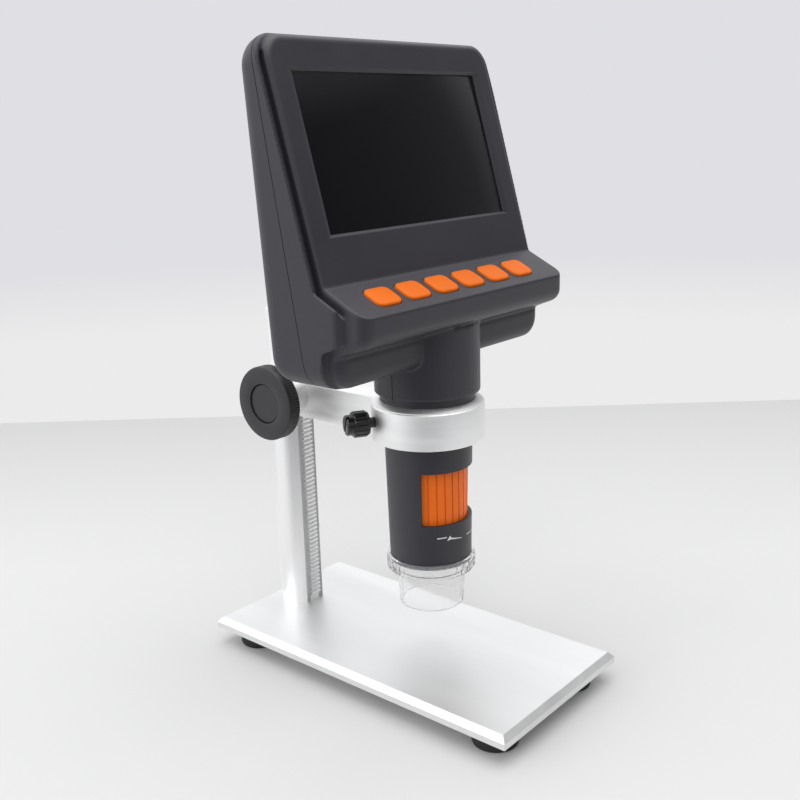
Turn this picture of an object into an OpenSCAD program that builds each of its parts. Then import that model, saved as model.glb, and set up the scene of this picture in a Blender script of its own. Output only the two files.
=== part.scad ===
// Screen microscope on a rack-and-pinion stand.
// Millimetres. X runs across the plate, -Y is the side the screen faces, +Z is up.
// The origin is on the table under the middle of the plate.

/* [Plate] */
// width of the plate
plate_w = 76; // [72:1:90]
// length of the plate, front to back
plate_l = 150; // [144:1:170]
// thickness of the plate
plate_t = 4.5; // [4:0.5:7]
// diameter of each rubber foot
foot_d = 17.4; // [15:0.2:20]
// height of each rubber foot
foot_h = 7.5; // [6:0.5:10]

/* [Column] */
// diameter of the column
column_d = 18; // [17:0.5:20]
// height of the column above the plate
column_h = 131; // [126:1:150]
// tooth size of the rack and pinion: tooth spacing over pi
gear_module = 0.6; // [0.55:0.05:0.65]

/* [Holder] */
// distance from the column's axis to the ring's axis
arm_reach = 74.8; // [72:0.4:84]
// width of the arm
arm_w = 18; // [16:1:22]
// height of the ring and arm
ring_h = 14.2; // [14:0.2:16]
// bore of the ring
ring_bore = 36; // [36:0.5:38]
// wall of the ring
ring_wall = 3.65; // [3:0.05:5]
// height of the ring's underside above the plate
holder_lift = 88; // [84:1:96]

/* [Height knob] */
// diameter of the knob
knob_d = 30.2; // [26:0.2:34]
// thickness of the knob's disc
knob_t = 6; // [5:0.5:9]

/* [Screen housing] */
// width of the housing
head_w = 125; // [123:1:132]
// lean of the screen face back from upright, degrees
screen_tilt = 15.4; // [13:0.2:17]
// slope of the button shelf below level, degrees
shelf_tilt = 27; // [25:0.5:29]
// wall of the housing
wall = 2; // [1.8:0.1:2.2]
// width of the opening over the display
opening_w = 97; // [94:0.5:98]
// height of the opening over the display
opening_h = 54.6; // [52:0.2:56]
// how far the display cover lies behind the face
opening_depth = 1.8; // [1.6:0.1:1.8]

/* [Buttons] */
// width of a button
button_w = 11.4; // [9:0.2:12]
// depth of a button
button_l = 9.6; // [8:0.2:10]
// spacing of the six buttons
button_pitch = 15.6; // [15.2:0.1:15.8]
// how far a button moves when pressed
button_travel = 0.8; // [0.5:0.1:0.9]

/* [Barrel] */
// diameter at the barrel's bottom
barrel_end_d = 32; // [32:0.2:33]
// diameter where the barrel enters the ring
barrel_top_d = 33.7; // [33.4:0.1:34]
// length of the barrel below the ring
barrel_l = 48.9; // [48:0.1:54]
// how far the clear skirt stands below the barrel
skirt_l = 18.6; // [14:0.2:22]

/* [Fits] */
// radial gap of a turning or sliding fit
running_gap = 0.05; // [0.03:0.01:0.08]
// gap between fixed pieces that are not fitted
loose_gap = 0.3; // [0.2:0.05:0.4]

/* [Hidden] */
$fn = 96;
far = 200;

// stand
bevel_w = 2;
bevel_h = 2.1;
foot_inset = 13;
foot_x = plate_w / 2 - foot_inset;
foot_y = plate_l / 2 - foot_inset;
foot_web = 3;
plate_top = foot_h + plate_t;
foot_screw_r = 1.45;
foot_hole_depth = plate_t - 0.9;
column_inset = 14;
column_y = plate_l / 2 - column_inset;
column_r = column_d / 2;
column_top = plate_top + column_h;
groove_half = 4.7;
rack_half = 2.5;
pitch_len = PI * gear_module;
addendum = 0.8 * gear_module;
dedendum = 1.25 * gear_module;
rack_tip_y = column_y - column_r + 0.22;
rack_pitch_y = rack_tip_y + addendum;
rack_root_y = rack_pitch_y + dedendum;
groove_floor_y = column_y - column_r + 3.5;
rack_back_y = groove_floor_y + 1.5;
column_screw_x = 4.6;
column_screw_y = column_y + 2.5;
column_screw_r = 2;

// holder
barrel_y = column_y - arm_reach;
ring_bore_r = ring_bore / 2;
ring_r = ring_bore_r + ring_wall;
holder_bottom = plate_top + holder_lift;
holder_top = holder_bottom + ring_h;
block_r = column_r + 4.5;
block_top = holder_bottom + 17;
pinion_teeth = 14;
pinion_pitch_r = pinion_teeth * gear_module / 2;
pinion_tip_r = pinion_pitch_r + 0.9 * gear_module;
pinion_y = rack_pitch_y - pinion_pitch_r;
pinion_z = holder_bottom + 9;
pinion_half = 3;
journal_r = 3;
end_journal_r = 2.5;
pocket_r = pinion_tip_r + 0.16;
bush_flange = 1.2;
bush_face = -arm_w / 2 - bush_flange;
knob_hub_x = bush_face - loose_gap;
knob_hub_r = 6.5;
clip_r = 4.2;
knob_face_x = -arm_w / 2 - 18;
knob_back_x = knob_face_x + knob_t;
screw_angle = 150;
screw_r = 2;
screw_z = holder_bottom + 8;

// microscope body
journal_head_r = ring_bore_r - running_gap;
neck_bottom = holder_top + 4.2;
neck_r = ring_bore_r + 2.1;
head_bottom = neck_bottom + 12.2;
head_half = head_w / 2;
face_half = head_half - 3.2;
up = [sin(screen_tilt), cos(screen_tilt)];
back = [cos(screen_tilt), -sin(screen_tilt)];
shelf_dir = [-cos(shelf_tilt), -sin(shelf_tilt)];
shelf_l = 18.8;
face_below = 44.3;
face_above = 39.3;
crease = [barrel_y - 6.45, head_bottom + 34.24];
face_top = crease + (face_below + face_above) * up;
face_mid = crease + face_below * up;
shelf_edge = crease + shelf_l * shelf_dir;
head_depth = 13;
rear_y = barrel_y + 20.3;
rear_r = 9;
block_front = barrel_y - 11.7;
front_block_top = head_bottom + 12.1;
parting_y = barrel_y;
parting_tilt = 9.3;
parting_gap = 0.12;
step = 2;
lip_r = 5;
glass_t = 1.2;
glass_w = opening_w + 6;
glass_h = opening_h + 6;
panel_w = opening_w + 8.5;
panel_t = 2.9;
panel_top = opening_h / 2 + 3.1;
panel_bottom = -opening_h / 2 - 9.5;
board_depth = 8;
board_t = 1.6;
board_w = head_w - 7;
board_low = panel_bottom + 0.8;
board_high = 16;
board_back = -board_depth - board_t;
post_r = 2;
post_x = panel_w / 2 + post_r + 0.25;
battery_size = [62, 32, 5.5];
battery_x = -board_w / 2 + 13;
button_mid = 9.7;
button_shift = -1.9;
button_rise = 1;
button_plate = 1;
switch_gap = button_travel + 0.1;

profile = [
    face_top,
    crease,
    shelf_edge,
    shelf_edge + [-0.2, -9.1],
    [block_front, front_block_top],
    [block_front, head_bottom],
    [rear_y, head_bottom],
    face_top + head_depth * back
];
profile_radii = [2.5, 2, 2, 2.5, 2, 4, 10, 5];
inner_radii = [1, 2, 1, 1, 2, 2, 8, 3];
side_inset = inset(profile, step);
side_profile = [
    face_top + step * back,
    side_inset[1],
    side_inset[1] + (shelf_l - 6) * shelf_dir,
    [side_inset[1][0] - (shelf_l - 6) * cos(shelf_tilt), head_bottom + 16.6],
    [block_front + 5, head_bottom + 13.1],
    [block_front + 5, head_bottom],
    [rear_y, head_bottom],
    face_top + head_depth * back
];
side_radii = [2, 2, 1.5, 1.5, 2, 4, 10, 5];
rear_lean = atan2(profile[7][0] - profile[6][0], profile[7][1] - profile[6][1]);

// barrel
barrel_bottom = holder_bottom - barrel_l;
barrel_top_r = barrel_top_d / 2;
barrel_end_r = barrel_end_d / 2;
barrel_bore_r = barrel_end_r - 1.1;
window_low = barrel_bottom + 17.8;
window_high = window_low + 20.8;
window_half = 63;
wheel_r = barrel_bore_r - loose_gap;
wheel_low = window_low - 0.7;
wheel_high = window_high + 0.7;
wheel_bore_r = 12;
wheel_ribs = 40;
shoulder_z = wheel_high + loose_gap;
sensor_seat = shoulder_z + 17;
flange_r = ring_bore_r + 0.8;
flange_low = neck_bottom + 2.7;
flange_high = flange_low + 2.8;
carrier_l = 12;
carrier_z = (wheel_low + wheel_high) / 2 - carrier_l / 2;
lens_r = 7;
led_low = barrel_bottom + 6.3;
skirt_bottom = barrel_bottom - skirt_l;
collar_r = barrel_end_r + 1.1;
collar_top = barrel_bottom + 1.7;
collar_bottom = barrel_bottom - 4.1;
spigot_r = barrel_bore_r - 0.08;
spigot_top = barrel_bottom + 5;

// ---------- helpers ----------

function unit(v) = v / norm(v);
function left_normal(a, b) = let (d = unit(b - a)) [-d[1], d[0]];

// moves every side of a counter-clockwise outline inwards by d
function inset(p, d) = [
    for (i = [0 : len(p) - 1])
        let (
            a = p[(i + len(p) - 1) % len(p)],
            b = p[i],
            c = p[(i + 1) % len(p)],
            n1 = left_normal(a, b),
            n2 = left_normal(b, c)
        )
        b + (n1 + n2) * d / (1 + n1 * n2)
];

// the arc that rounds corner b, between a and c
function corner(a, b, c, r, steps = 5) =
    let (
        u = unit(a - b),
        w = unit(c - b),
        half = acos(u * w) / 2,
        mid = b + unit(u + w) * r / sin(half),
        p = b + u * r / tan(half) - mid,
        q = b + w * r / tan(half) - mid,
        start = atan2(p[1], p[0]),
        sweep = (atan2(q[1], q[0]) - start + 540) % 360 - 180
    )
    [for (k = [0 : steps]) mid + r * [cos(start + sweep * k / steps), sin(start + sweep * k / steps)]];

function rounded(p, radii) = [
    for (i = [0 : len(p) - 1])
        for (q = corner(p[(i + len(p) - 1) % len(p)], p[i], p[(i + 1) % len(p)], radii[i]))
            q
];

// an outline drawn in Y and Z, spread to both sides along X
module along_x(half) {
    rotate([90, 0, 90])
        translate([0, 0, -half])
            linear_extrude(2 * half)
                children();
}

// local X across, local Y up the screen face, local Z out of the face
module on_face() {
    translate([0, face_mid[0], face_mid[1]])
        rotate([90 - screen_tilt, 0, 0])
            children();
}

// local X across, local Y up the shelf towards the screen, local Z out of the shelf
module on_shelf() {
    translate([0, crease[0], crease[1]])
        rotate([shelf_tilt, 0, 0])
            children();
}

module at_barrel(z = 0) {
    translate([0, barrel_y, z])
        children();
}

module tube(r_out, r_in, h) {
    difference() {
        cylinder(r = r_out, h = h);
        translate([0, 0, -1])
            cylinder(r = r_in, h = h + 2);
    }
}

module round_box(w, l, h, r) {
    linear_extrude(h)
        round_rect(w, l, r);
}

module round_rect(w, l, r) {
    square([w - 2 * r, l], center = true);
    square([w, l - 2 * r], center = true);
    for (x = [-1, 1], y = [-1, 1])
        translate([x * (w / 2 - r), y * (l / 2 - r)])
            circle(r);
}

// a block whose sides slope evenly from one rectangle to a larger one
module sloped_block(w1, l1, w2, l2, h) {
    intersection() {
        rotate([90, 0, 0])
            translate([0, 0, -far])
                linear_extrude(2 * far)
                    polygon([[-w1 / 2, 0], [w1 / 2, 0], [w2 / 2, h], [-w2 / 2, h]]);
        rotate([90, 0, 90])
            translate([0, 0, -far])
                linear_extrude(2 * far)
                    polygon([[-l1 / 2, 0], [l1 / 2, 0], [l2 / 2, h], [-l2 / 2, h]]);
    }
}

// screw with its head's top at z = 0 and its shank pointing down
module screw(head_r, head_h, shank_r, shank_l) {
    difference() {
        union() {
            translate([0, 0, -head_h])
                cylinder(r = head_r, h = head_h);
            translate([0, 0, -head_h - shank_l])
                cylinder(r = shank_r, h = shank_l + head_h / 2);
        }
        for (a = [0, 90])
            rotate([0, 0, a])
                translate([0, 0, -head_h * 0.22])
                    cube([head_r * 1.2, head_r * 0.28, head_h * 0.5], center = true);
    }
}

module at_feet() {
    for (x = [-1, 1], y = [-1, 1])
        translate([x * foot_x, y * foot_y, 0])
            children();
}

module at_column_screws() {
    for (x = [-1, 1])
        translate([x * column_screw_x, column_screw_y, 0])
            children();
}

// ---------- stand ----------

module base_plate() {
    color("silver")
        difference() {
            intersection() {
                translate([0, 0, foot_h])
                    linear_extrude(plate_t)
                        square([plate_w, plate_l], center = true);
                plate_slope(plate_w, [0, 0, 0]);
                plate_slope(plate_l, [0, 0, 90]);
            }
            at_feet()
                translate([0, 0, foot_h - 1])
                    cylinder(r = foot_screw_r + running_gap, h = foot_hole_depth + 1);
            at_column_screws() {
                translate([0, 0, foot_h - 1])
                    cylinder(r = column_screw_r + 0.2, h = plate_t + 2);
                translate([0, 0, foot_h - 1])
                    cylinder(r = 3.8, h = 3.4);
            }
        }
}

module plate_slope(width, turn) {
    rotate(turn)
        rotate([90, 0, 0])
            translate([0, 0, -far])
                linear_extrude(2 * far)
                    polygon([
                        [-width / 2, foot_h],
                        [width / 2, foot_h],
                        [width / 2, plate_top - bevel_h],
                        [width / 2 - bevel_w, plate_top],
                        [-width / 2 + bevel_w, plate_top],
                        [-width / 2, plate_top - bevel_h]
                    ]);
}

module rubber_feet() {
    color("black")
        at_feet()
            rotate_extrude()
                polygon([
                    [foot_screw_r + 0.1, foot_h - foot_web],
                    [3.4, foot_h - foot_web],
                    [3.4, 0],
                    [foot_d / 2 - 1, 0],
                    [foot_d / 2 - 0.3, 0.3],
                    [foot_d / 2, 1],
                    [foot_d / 2, foot_h - 0.6],
                    [foot_d / 2 - 0.6, foot_h],
                    [foot_screw_r + 0.1, foot_h]
                ]);
}

module foot_screws() {
    color("gray")
        at_feet()
            translate([0, 0, foot_h - foot_web - 1.8])
                mirror([0, 0, 1])
                    screw(2.9, 1.8, foot_screw_r, foot_web + foot_hole_depth - 0.4);
}

module column() {
    color("silver")
        difference() {
            translate([0, column_y, plate_top])
                cylinder(r = column_r, h = column_h);
            translate([-groove_half, column_y - far, plate_top - 1])
                cube([2 * groove_half, far - column_y + groove_floor_y, column_h + 2]);
            translate([-rack_half - 0.03, column_y - far, plate_top - 1])
                cube([2 * rack_half + 0.06, far - column_y + rack_back_y, column_h + 2]);
            at_column_screws()
                translate([0, 0, plate_top - 1])
                    cylinder(r = column_screw_r + running_gap, h = 15);
        }
}

module rack() {
    teeth = floor((column_h - 2) / pitch_len);
    low = pinion_z - pitch_len * floor((pinion_z - plate_top - 1) / pitch_len);
    slope = tan(20);
    root_half = pitch_len / 4 - 0.07 - dedendum * slope;
    tip_half = pitch_len / 4 - 0.05 - addendum * slope;
    color("darkgray")
        along_x(rack_half)
            polygon(concat(
                [[rack_back_y, plate_top], [rack_root_y, plate_top]],
                [for (i = [0 : teeth - 1])
                    let (z = low + (i + 0.5) * pitch_len)
                    for (q = [
                        [rack_root_y, z - pitch_len / 2 + root_half],
                        [rack_tip_y, z - tip_half],
                        [rack_tip_y, z + tip_half],
                        [rack_root_y, z + pitch_len / 2 - root_half]
                    ])
                        if (z + pitch_len / 2 < column_top - 0.5) q],
                [[rack_root_y, column_top], [rack_back_y, column_top]]
            ));
}

module column_screws() {
    color("gray")
        at_column_screws()
            translate([0, 0, foot_h + 0.2])
                mirror([0, 0, 1])
                    screw(3.6, 2.2, column_screw_r, 13);
}

// ---------- holder ----------

module at_pinion() {
    translate([0, pinion_y, pinion_z])
        rotate([0, 90, 0])
            children();
}

module holder_arm() {
    key_low = groove_half - 0.1;
    color("silver") {
        difference() {
            union() {
                at_barrel()
                    rotate_extrude()
                        ring_section();
                translate([-arm_w / 2, barrel_y, holder_bottom])
                    cube([arm_w, arm_reach, ring_h]);
                translate([0, column_y, holder_bottom])
                    cylinder(r = block_r, h = block_top - holder_bottom);
                translate([-arm_w / 2, pinion_y - 6.2, holder_bottom])
                    cube([arm_w, column_y - pinion_y + 6.2, block_top - holder_bottom]);
            }
            at_barrel(holder_bottom - 1)
                cylinder(r = ring_bore_r, h = ring_h + 2);
            translate([0, column_y, holder_bottom - 1])
                cylinder(r = column_r + running_gap, h = block_top - holder_bottom + 2);
            // way for the rack's teeth
            translate([-rack_half - loose_gap, rack_tip_y - loose_gap, holder_bottom - 1])
                cube([2 * (rack_half + loose_gap), column_r, block_top - holder_bottom + 2]);
            at_pinion() {
                translate([0, 0, -far])
                    cylinder(r = pocket_r, h = far + pinion_half + 0.2);
                cylinder(r = end_journal_r + running_gap, h = far);
                // flats for the knob's hub and for the clip, where the block is wider than the arm
                translate([0, 0, -far - arm_w / 2])
                    cylinder(r = knob_hub_r + 0.4, h = far);
                translate([0, 0, arm_w / 2])
                    cylinder(r = clip_r + 0.6, h = far);
            }
            at_thumb_screw(ring_bore_r - 2)
                cylinder(r = screw_r + running_gap, h = ring_wall + 4);
        }
        // the tongues that run in the column's groove beside the rack
        for (s = [-1, 1])
            translate([s > 0 ? rack_half + 0.5 : -key_low, rack_tip_y - 0.6, holder_bottom])
                cube([key_low - rack_half - 0.5, 2.6, 4]);
    }
}

module ring_section() {
    polygon([
        [ring_bore_r, holder_bottom],
        [ring_r - 0.6, holder_bottom],
        [ring_r, holder_bottom + 0.6],
        [ring_r, holder_top - 0.6],
        [ring_r - 0.6, holder_top],
        [ring_bore_r, holder_top]
    ]);
}

// one side of a tooth, from its root to its tip, as [radius, angle from the tooth's middle]
function flank(n) =
    let (
        base_r = pinion_pitch_r * cos(20),
        at_pitch = tan(20) * 180 / PI - 20,
        half = 90 / pinion_teeth - 0.9 + at_pitch,
        t_tip = sqrt(pow(pinion_tip_r / base_r, 2) - 1)
    )
    [for (k = [0 : n])
        let (t = t_tip * k / n)
        [base_r * sqrt(1 + t * t), half - (t * 180 / PI - atan(t))]];

module pinion_outline() {
    side = flank(4);
    root_r = pinion_pitch_r - 1.2 * gear_module;
    polygon([
        for (i = [0 : pinion_teeth - 1])
            let (mid = i * 360 / pinion_teeth)
            for (q = concat(
                [[root_r, -side[0][1]]],
                [for (k = [0 : 4]) [side[k][0], -side[k][1]]],
                [for (k = [4 : -1 : 0]) side[k]],
                [[root_r, side[0][1]]]
            ))
                q[0] * [cos(mid + q[1]), sin(mid + q[1])]
    ]);
}

module pinion_shaft() {
    color("dimgray")
        at_pinion()
            difference() {
                union() {
                    // a tooth points at the rack, towards +Y
                    rotate([0, 0, 90])
                        translate([0, 0, -pinion_half])
                            linear_extrude(2 * pinion_half)
                                pinion_outline();
                    translate([0, 0, knob_back_x - 2.5])
                        cylinder(r = journal_r, h = -knob_back_x - pinion_half + 3);
                    translate([0, 0, pinion_half - 0.5])
                        cylinder(r = end_journal_r, h = arm_w / 2 - pinion_half + 2.3);
                }
                translate([0, 0, arm_w / 2 + 0.3])
                    tube(end_journal_r + 1, 1.95, 0.8);
            }
}

module shaft_bushing() {
    color("black")
        at_pinion()
            difference() {
                union() {
                    translate([0, 0, -arm_w / 2])
                        cylinder(r = pocket_r - 0.02, h = arm_w / 2 - pinion_half - 0.2);
                    translate([0, 0, bush_face])
                        cylinder(r = pocket_r + 1.4, h = bush_flange);
                }
                translate([0, 0, -far])
                    cylinder(r = journal_r + running_gap, h = 2 * far);
            }
}

module shaft_clip() {
    color("gray")
        at_pinion()
            translate([0, 0, arm_w / 2 + 0.35])
                difference() {
                    tube(clip_r, 2, 0.7);
                    translate([-1.2, -6, -1])
                        cube([2.4, 6, 3]);
                }
}

module knob_rim(r) {
    count = 96;
    polygon([
        for (i = [0 : count - 1])
            for (q = [[-0.30, 0], [-0.12, 0.28], [0.12, 0.28], [0.30, 0]])
                (r - 0.28 + q[1]) * [cos((i + q[0]) * 360 / count), sin((i + q[0]) * 360 / count)]
    ]);
}

module height_knob() {
    r = knob_d / 2;
    color("black")
        at_pinion()
            difference() {
                union() {
                    translate([0, 0, knob_face_x + 1.2])
                        linear_extrude(knob_t - 1.8)
                            knob_rim(r);
                    rotate_extrude()
                        polygon([
                            [0, knob_face_x],
                            [r - 1.3, knob_face_x],
                            [r - 0.5, knob_face_x + 0.4],
                            [r - 0.2, knob_face_x + 1.2],
                            [r - 0.3, knob_back_x - 0.6],
                            [r - 0.9, knob_back_x],
                            [knob_hub_r, knob_back_x],
                            [knob_hub_r, knob_hub_x],
                            [0, knob_hub_x]
                        ]);
                }
                translate([0, 0, knob_back_x - 2.8])
                    cylinder(r = journal_r + 0.02, h = far);
                translate([0, 0, knob_face_x - 1])
                    cylinder(r = knob_d * 0.265, h = 2.5);
            }
}

module knob_cap() {
    color("black")
        at_pinion()
            translate([0, 0, knob_face_x])
                cylinder(r = knob_d * 0.265 - 0.2, h = 1.5);
}

// local Z points out of the ring along the screw
module at_thumb_screw(start) {
    at_barrel(screw_z)
        rotate([0, 90, screw_angle])
            translate([0, 0, start])
                children();
}

module thumb_screw() {
    head_from = ring_r + 2.6;
    color("black")
        at_thumb_screw(0)
            difference() {
                union() {
                    translate([0, 0, ring_bore_r + 0.02])
                        cylinder(r = screw_r, h = head_from - ring_bore_r + 1);
                    translate([0, 0, head_from])
                        cylinder(r = 5.1, h = 6.8);
                    translate([0, 0, head_from + 0.5])
                        linear_extrude(5.8)
                            coarse_rim(5.6, 16);
                    translate([0, 0, head_from + 6])
                        cylinder(r = 4.4, h = 4);
                }
                translate([-0.6, -far, head_from + 8.8])
                    cube([1.2, 2 * far, 5]);
            }
}

module coarse_rim(r, count) {
    polygon([
        for (i = [0 : count - 1])
            for (q = [[-0.3, 0], [-0.16, 0.5], [0.16, 0.5], [0.3, 0]])
                (r - 0.5 + q[1]) * [cos((i + q[0]) * 360 / count), sin((i + q[0]) * 360 / count)]
    ]);
}

// ---------- screen housing ----------

// keeps the housing's rounded outline: top corners seen square to the face, bottom corners seen level
module head_outline(half, top_r, low_r, margin) {
    intersection() {
        on_face()
            translate([0, 0, -far])
                linear_extrude(2 * far)
                    outline_up(half, face_above - margin, top_r);
        rotate([90, 0, 0])
            translate([0, 0, -far])
                linear_extrude(2 * far)
                    outline_down(half, head_bottom + margin, low_r);
    }
}

module outline_up(half, top, r) {
    translate([-half, -far])
        square([2 * half, far + top - r]);
    translate([-half + r, top - r - 1])
        square([2 * half - 2 * r, r + 1]);
    for (s = [-1, 1])
        translate([s * (half - r), top - r])
            circle(r);
}

module outline_down(half, low, r) {
    translate([-half, low + r])
        square([2 * half, far]);
    translate([-half + r, low])
        square([2 * half - 2 * r, r + 1]);
    for (s = [-1, 1])
        translate([s * (half - r), low + r])
            circle(r);
}

// rounds the front corners of the shelf and of the lower block, seen from above
module front_outline(half, margin, r) {
    linear_extrude(front_block_top + margin)
        outline_down(half, block_front + margin, r);
    translate([0, 0, front_block_top + margin])
        linear_extrude(2 * far)
            outline_down(half, profile[3][0] + margin, r);
}

// rounds the two long rear edges
module rear_edges(r) {
    for (s = [-1, 1])
        translate([s * (head_half - rear_r), profile[6][0], profile[6][1]])
            rotate([-rear_lean, 0, 0])
                translate([0, -rear_r, -10])
                    difference() {
                        translate([s > 0 ? 0 : -20, 0, 0])
                            cube([20, 20, far]);
                        translate([0, 0, -1])
                            cylinder(r = r, h = far + 2);
                    }
}

module head_solid() {
    difference() {
        union() {
            intersection() {
                along_x(face_half)
                    polygon(rounded(profile, profile_radii));
                head_outline(face_half, 9, 8, 0);
                front_outline(face_half, 0, lip_r);
            }
            intersection() {
                along_x(head_half)
                    polygon(rounded(side_profile, side_radii));
                head_outline(head_half, 11, 9, 0);
            }
        }
        rear_edges(rear_r);
    }
    at_barrel(neck_bottom)
        cylinder(r = neck_r, h = head_bottom + 15 - neck_bottom);
}

module head_hollow() {
    difference() {
        union() {
            intersection() {
                along_x(face_half - wall)
                    polygon(rounded(inset(profile, wall), inner_radii));
                head_outline(face_half - wall, 7, 6, wall);
                front_outline(face_half - wall, wall, lip_r - wall);
            }
            intersection() {
                along_x(head_half - wall)
                    polygon(rounded(inset(side_profile, wall), inner_radii));
                head_outline(head_half - wall, 9, 7, wall);
            }
        }
        rear_edges(rear_r - wall);
    }
    at_barrel(flange_high + 1)
        cylinder(r = neck_r - 2.5, h = head_bottom + 10 - flange_high);
    at_barrel(neck_bottom - 1)
        cylinder(r = ring_bore_r, h = 8);
    at_barrel(flange_low - 0.1)
        cylinder(r = flange_r + 0.15, h = flange_high - flange_low + 0.2);
}

// the side of the parting line that faces the user, moved back by d
module front_side(d) {
    lean = tan(parting_tilt);
    along_x(far)
        polygon([
            [-far, 0],
            [parting_y + d, 0],
            [parting_y + d, head_bottom],
            [parting_y + d + 150 * lean, head_bottom + 150],
            [-far, head_bottom + 150]
        ]);
}

top_screw = [48, face_above - 5.3];
low_screw = [50, head_bottom + 8.5];
function parting_at(z) = parting_y + (z - head_bottom) * tan(parting_tilt);
top_seat = 9.2;

// local Z points towards the user along the upper screws, from the seats of their heads
module at_top_screws() {
    on_face()
        for (s = [-1, 1])
            translate([s * top_screw[0], top_screw[1], -top_seat])
                children();
}

module at_low_screws() {
    for (s = [-1, 1])
        translate([s * low_screw[0], parting_at(low_screw[1]) + 5, low_screw[1]])
            rotate([90, 0, 0])
                children();
}

module low_posts() {
    at_low_screws()
        cylinder(r = 2.6, h = parting_at(low_screw[1]) + 4 - block_front);
}

module at_board_posts() {
    on_face()
        for (x = [-1, 1], y = [board_low + 5, board_high - 4])
            translate([x * post_x, y, 0])
                children();
}

module at_switch_posts() {
    on_shelf()
        for (x = [-1, 1])
            translate([x * 50, -button_mid, 0])
                children();
}

switch_board_top = -wall - button_plate - 0.8 - switch_gap - 2.4;

module front_shell() {
    color([0.27, 0.27, 0.29])
        difference() {
            union() {
                intersection() {
                    difference() {
                        head_solid();
                        head_hollow();
                    }
                    front_side(0);
                }
                intersection() {
                    low_posts();
                    head_solid();
                    front_side(0);
                }
                at_top_screws()
                    translate([0, 0, 3.2])
                        cylinder(r = 2.5, h = top_seat - 3.2 - wall / 2);
                at_board_posts()
                    translate([0, 0, -board_depth])
                        cylinder(r = post_r, h = board_depth - wall / 2);
                at_switch_posts()
                    translate([0, 0, switch_board_top])
                        cylinder(r = post_r, h = -switch_board_top - wall / 2);
            }
            on_face() {
                translate([-opening_w / 2, -opening_h / 2, -8])
                    cube([opening_w, opening_h, 20]);
                translate([0, 0, -opening_depth])
                    sloped_block(opening_w, opening_h, opening_w + 3.8, opening_h + 3.4, opening_depth);
                translate([0, 0, 0])
                    sloped_block(opening_w + 3.8, opening_h + 3.4, opening_w + 7.8, opening_h + 7.4, 2);
                // seat that leaves the front wall thin around the display
                translate([-glass_w / 2 - 0.3, -glass_h / 2 - 0.3, -opening_depth - 6])
                    cube([glass_w + 0.6, glass_h + 0.6, 6]);
            }
            at_buttons()
                translate([0, 0, -wall - 3])
                    round_box(button_w + 2 * loose_gap, button_l + 2 * loose_gap, wall + 8, 2.2);
            at_top_screws()
                cylinder(r = 1.1, h = top_seat - 1.4);
            at_low_screws()
                cylinder(r = 1.1, h = 13);
            at_board_posts()
                translate([0, 0, -board_depth - 1])
                    cylinder(r = 1, h = 6);
            at_switch_posts()
                translate([0, 0, switch_board_top - 1])
                    cylinder(r = 1, h = 5);
        }
}

module rear_shell() {
    color([0.25, 0.25, 0.27])
        difference() {
            union() {
                difference() {
                    difference() {
                        head_solid();
                        head_hollow();
                    }
                    front_side(parting_gap);
                }
                intersection() {
                    union() {
                        at_top_screws()
                            translate([0, 0, -far])
                                cylinder(r = 3.8, h = 2 * far);
                        at_low_screws()
                            translate([0, 0, -far])
                                cylinder(r = 3.6, h = far + 9);
                    }
                    difference() {
                        head_solid();
                        front_side(parting_gap);
                    }
                }
            }
            at_top_screws() {
                screw_way();
                translate([0, 0, 3])
                    cylinder(r = 2.5 + loose_gap, h = far);
            }
            at_low_screws()
                screw_way();
            on_face() {
                panel_space(loose_gap);
                translate([face_half - 8, socket_usb_y, board_back - 1.5])
                    cube([30, 8.4, 3.6], center = true);
                translate([face_half - 8, socket_card_y, board_back - 0.95])
                    cube([30, 12.4, 2.3], center = true);
            }
        }
}

// clearance for a shell screw: its shank ahead of its seat, its head behind
module screw_way() {
    translate([0, 0, -1])
        cylinder(r = 1.35, h = far);
    translate([0, 0, -far])
        cylinder(r = 2.3, h = far);
}

module shell_screws() {
    color("gray") {
        at_top_screws()
            shell_screw(top_seat - 2);
        at_low_screws()
            shell_screw(12);
    }
}

module shell_screw(shank_l) {
    translate([0, 0, -1.5])
        mirror([0, 0, 1])
            screw(2.1, 1.5, 1.05, shank_l);
}

module screen_window() {
    color([0.1, 0.1, 0.12])
        on_face()
            translate([-glass_w / 2, -glass_h / 2, -opening_depth - glass_t])
                cube([glass_w, glass_h, glass_t]);
}

module display_panel() {
    color([0.08, 0.08, 0.1])
        on_face()
            panel_space(0);
}

module panel_space(gap) {
    translate([-panel_w / 2 - gap, panel_bottom - gap, -opening_depth - glass_t - panel_t - gap])
        cube([panel_w + 2 * gap, panel_top - panel_bottom + 2 * gap, panel_t + gap]);
}

module main_board() {
    battery_right = battery_x + battery_size[0];
    color("darkgreen")
        difference() {
            on_face() {
                translate([-board_w / 2, board_low, board_back])
                    cube([board_w, board_high - board_low, board_t]);
                // processor, memory, coil and display connector
                board_block([battery_right + 8, board_low + 24], [14, 14, 1.1]);
                board_block([battery_right + 8, board_low + 6], [11, 9, 1]);
                board_block([battery_right + 20, board_high - 12], [7, 7, 2.4]);
                board_block([battery_x, board_high - 10], [24, 5, 2.8]);
            }
            at_board_posts()
                translate([0, 0, board_back - 1])
                    cylinder(r = 1.2, h = board_t + 2);
        }
}

// something soldered to the board's back: its corner on the board, its width, length and height
module board_block(place, size) {
    translate([place[0], place[1], board_back - size[2]])
        cube([size[0], size[1], size[2] + 0.1]);
}

module battery() {
    color("steelblue")
        on_face()
            translate([battery_x, board_low + 2, board_back - battery_size[2]])
                cube(battery_size);
}

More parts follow.
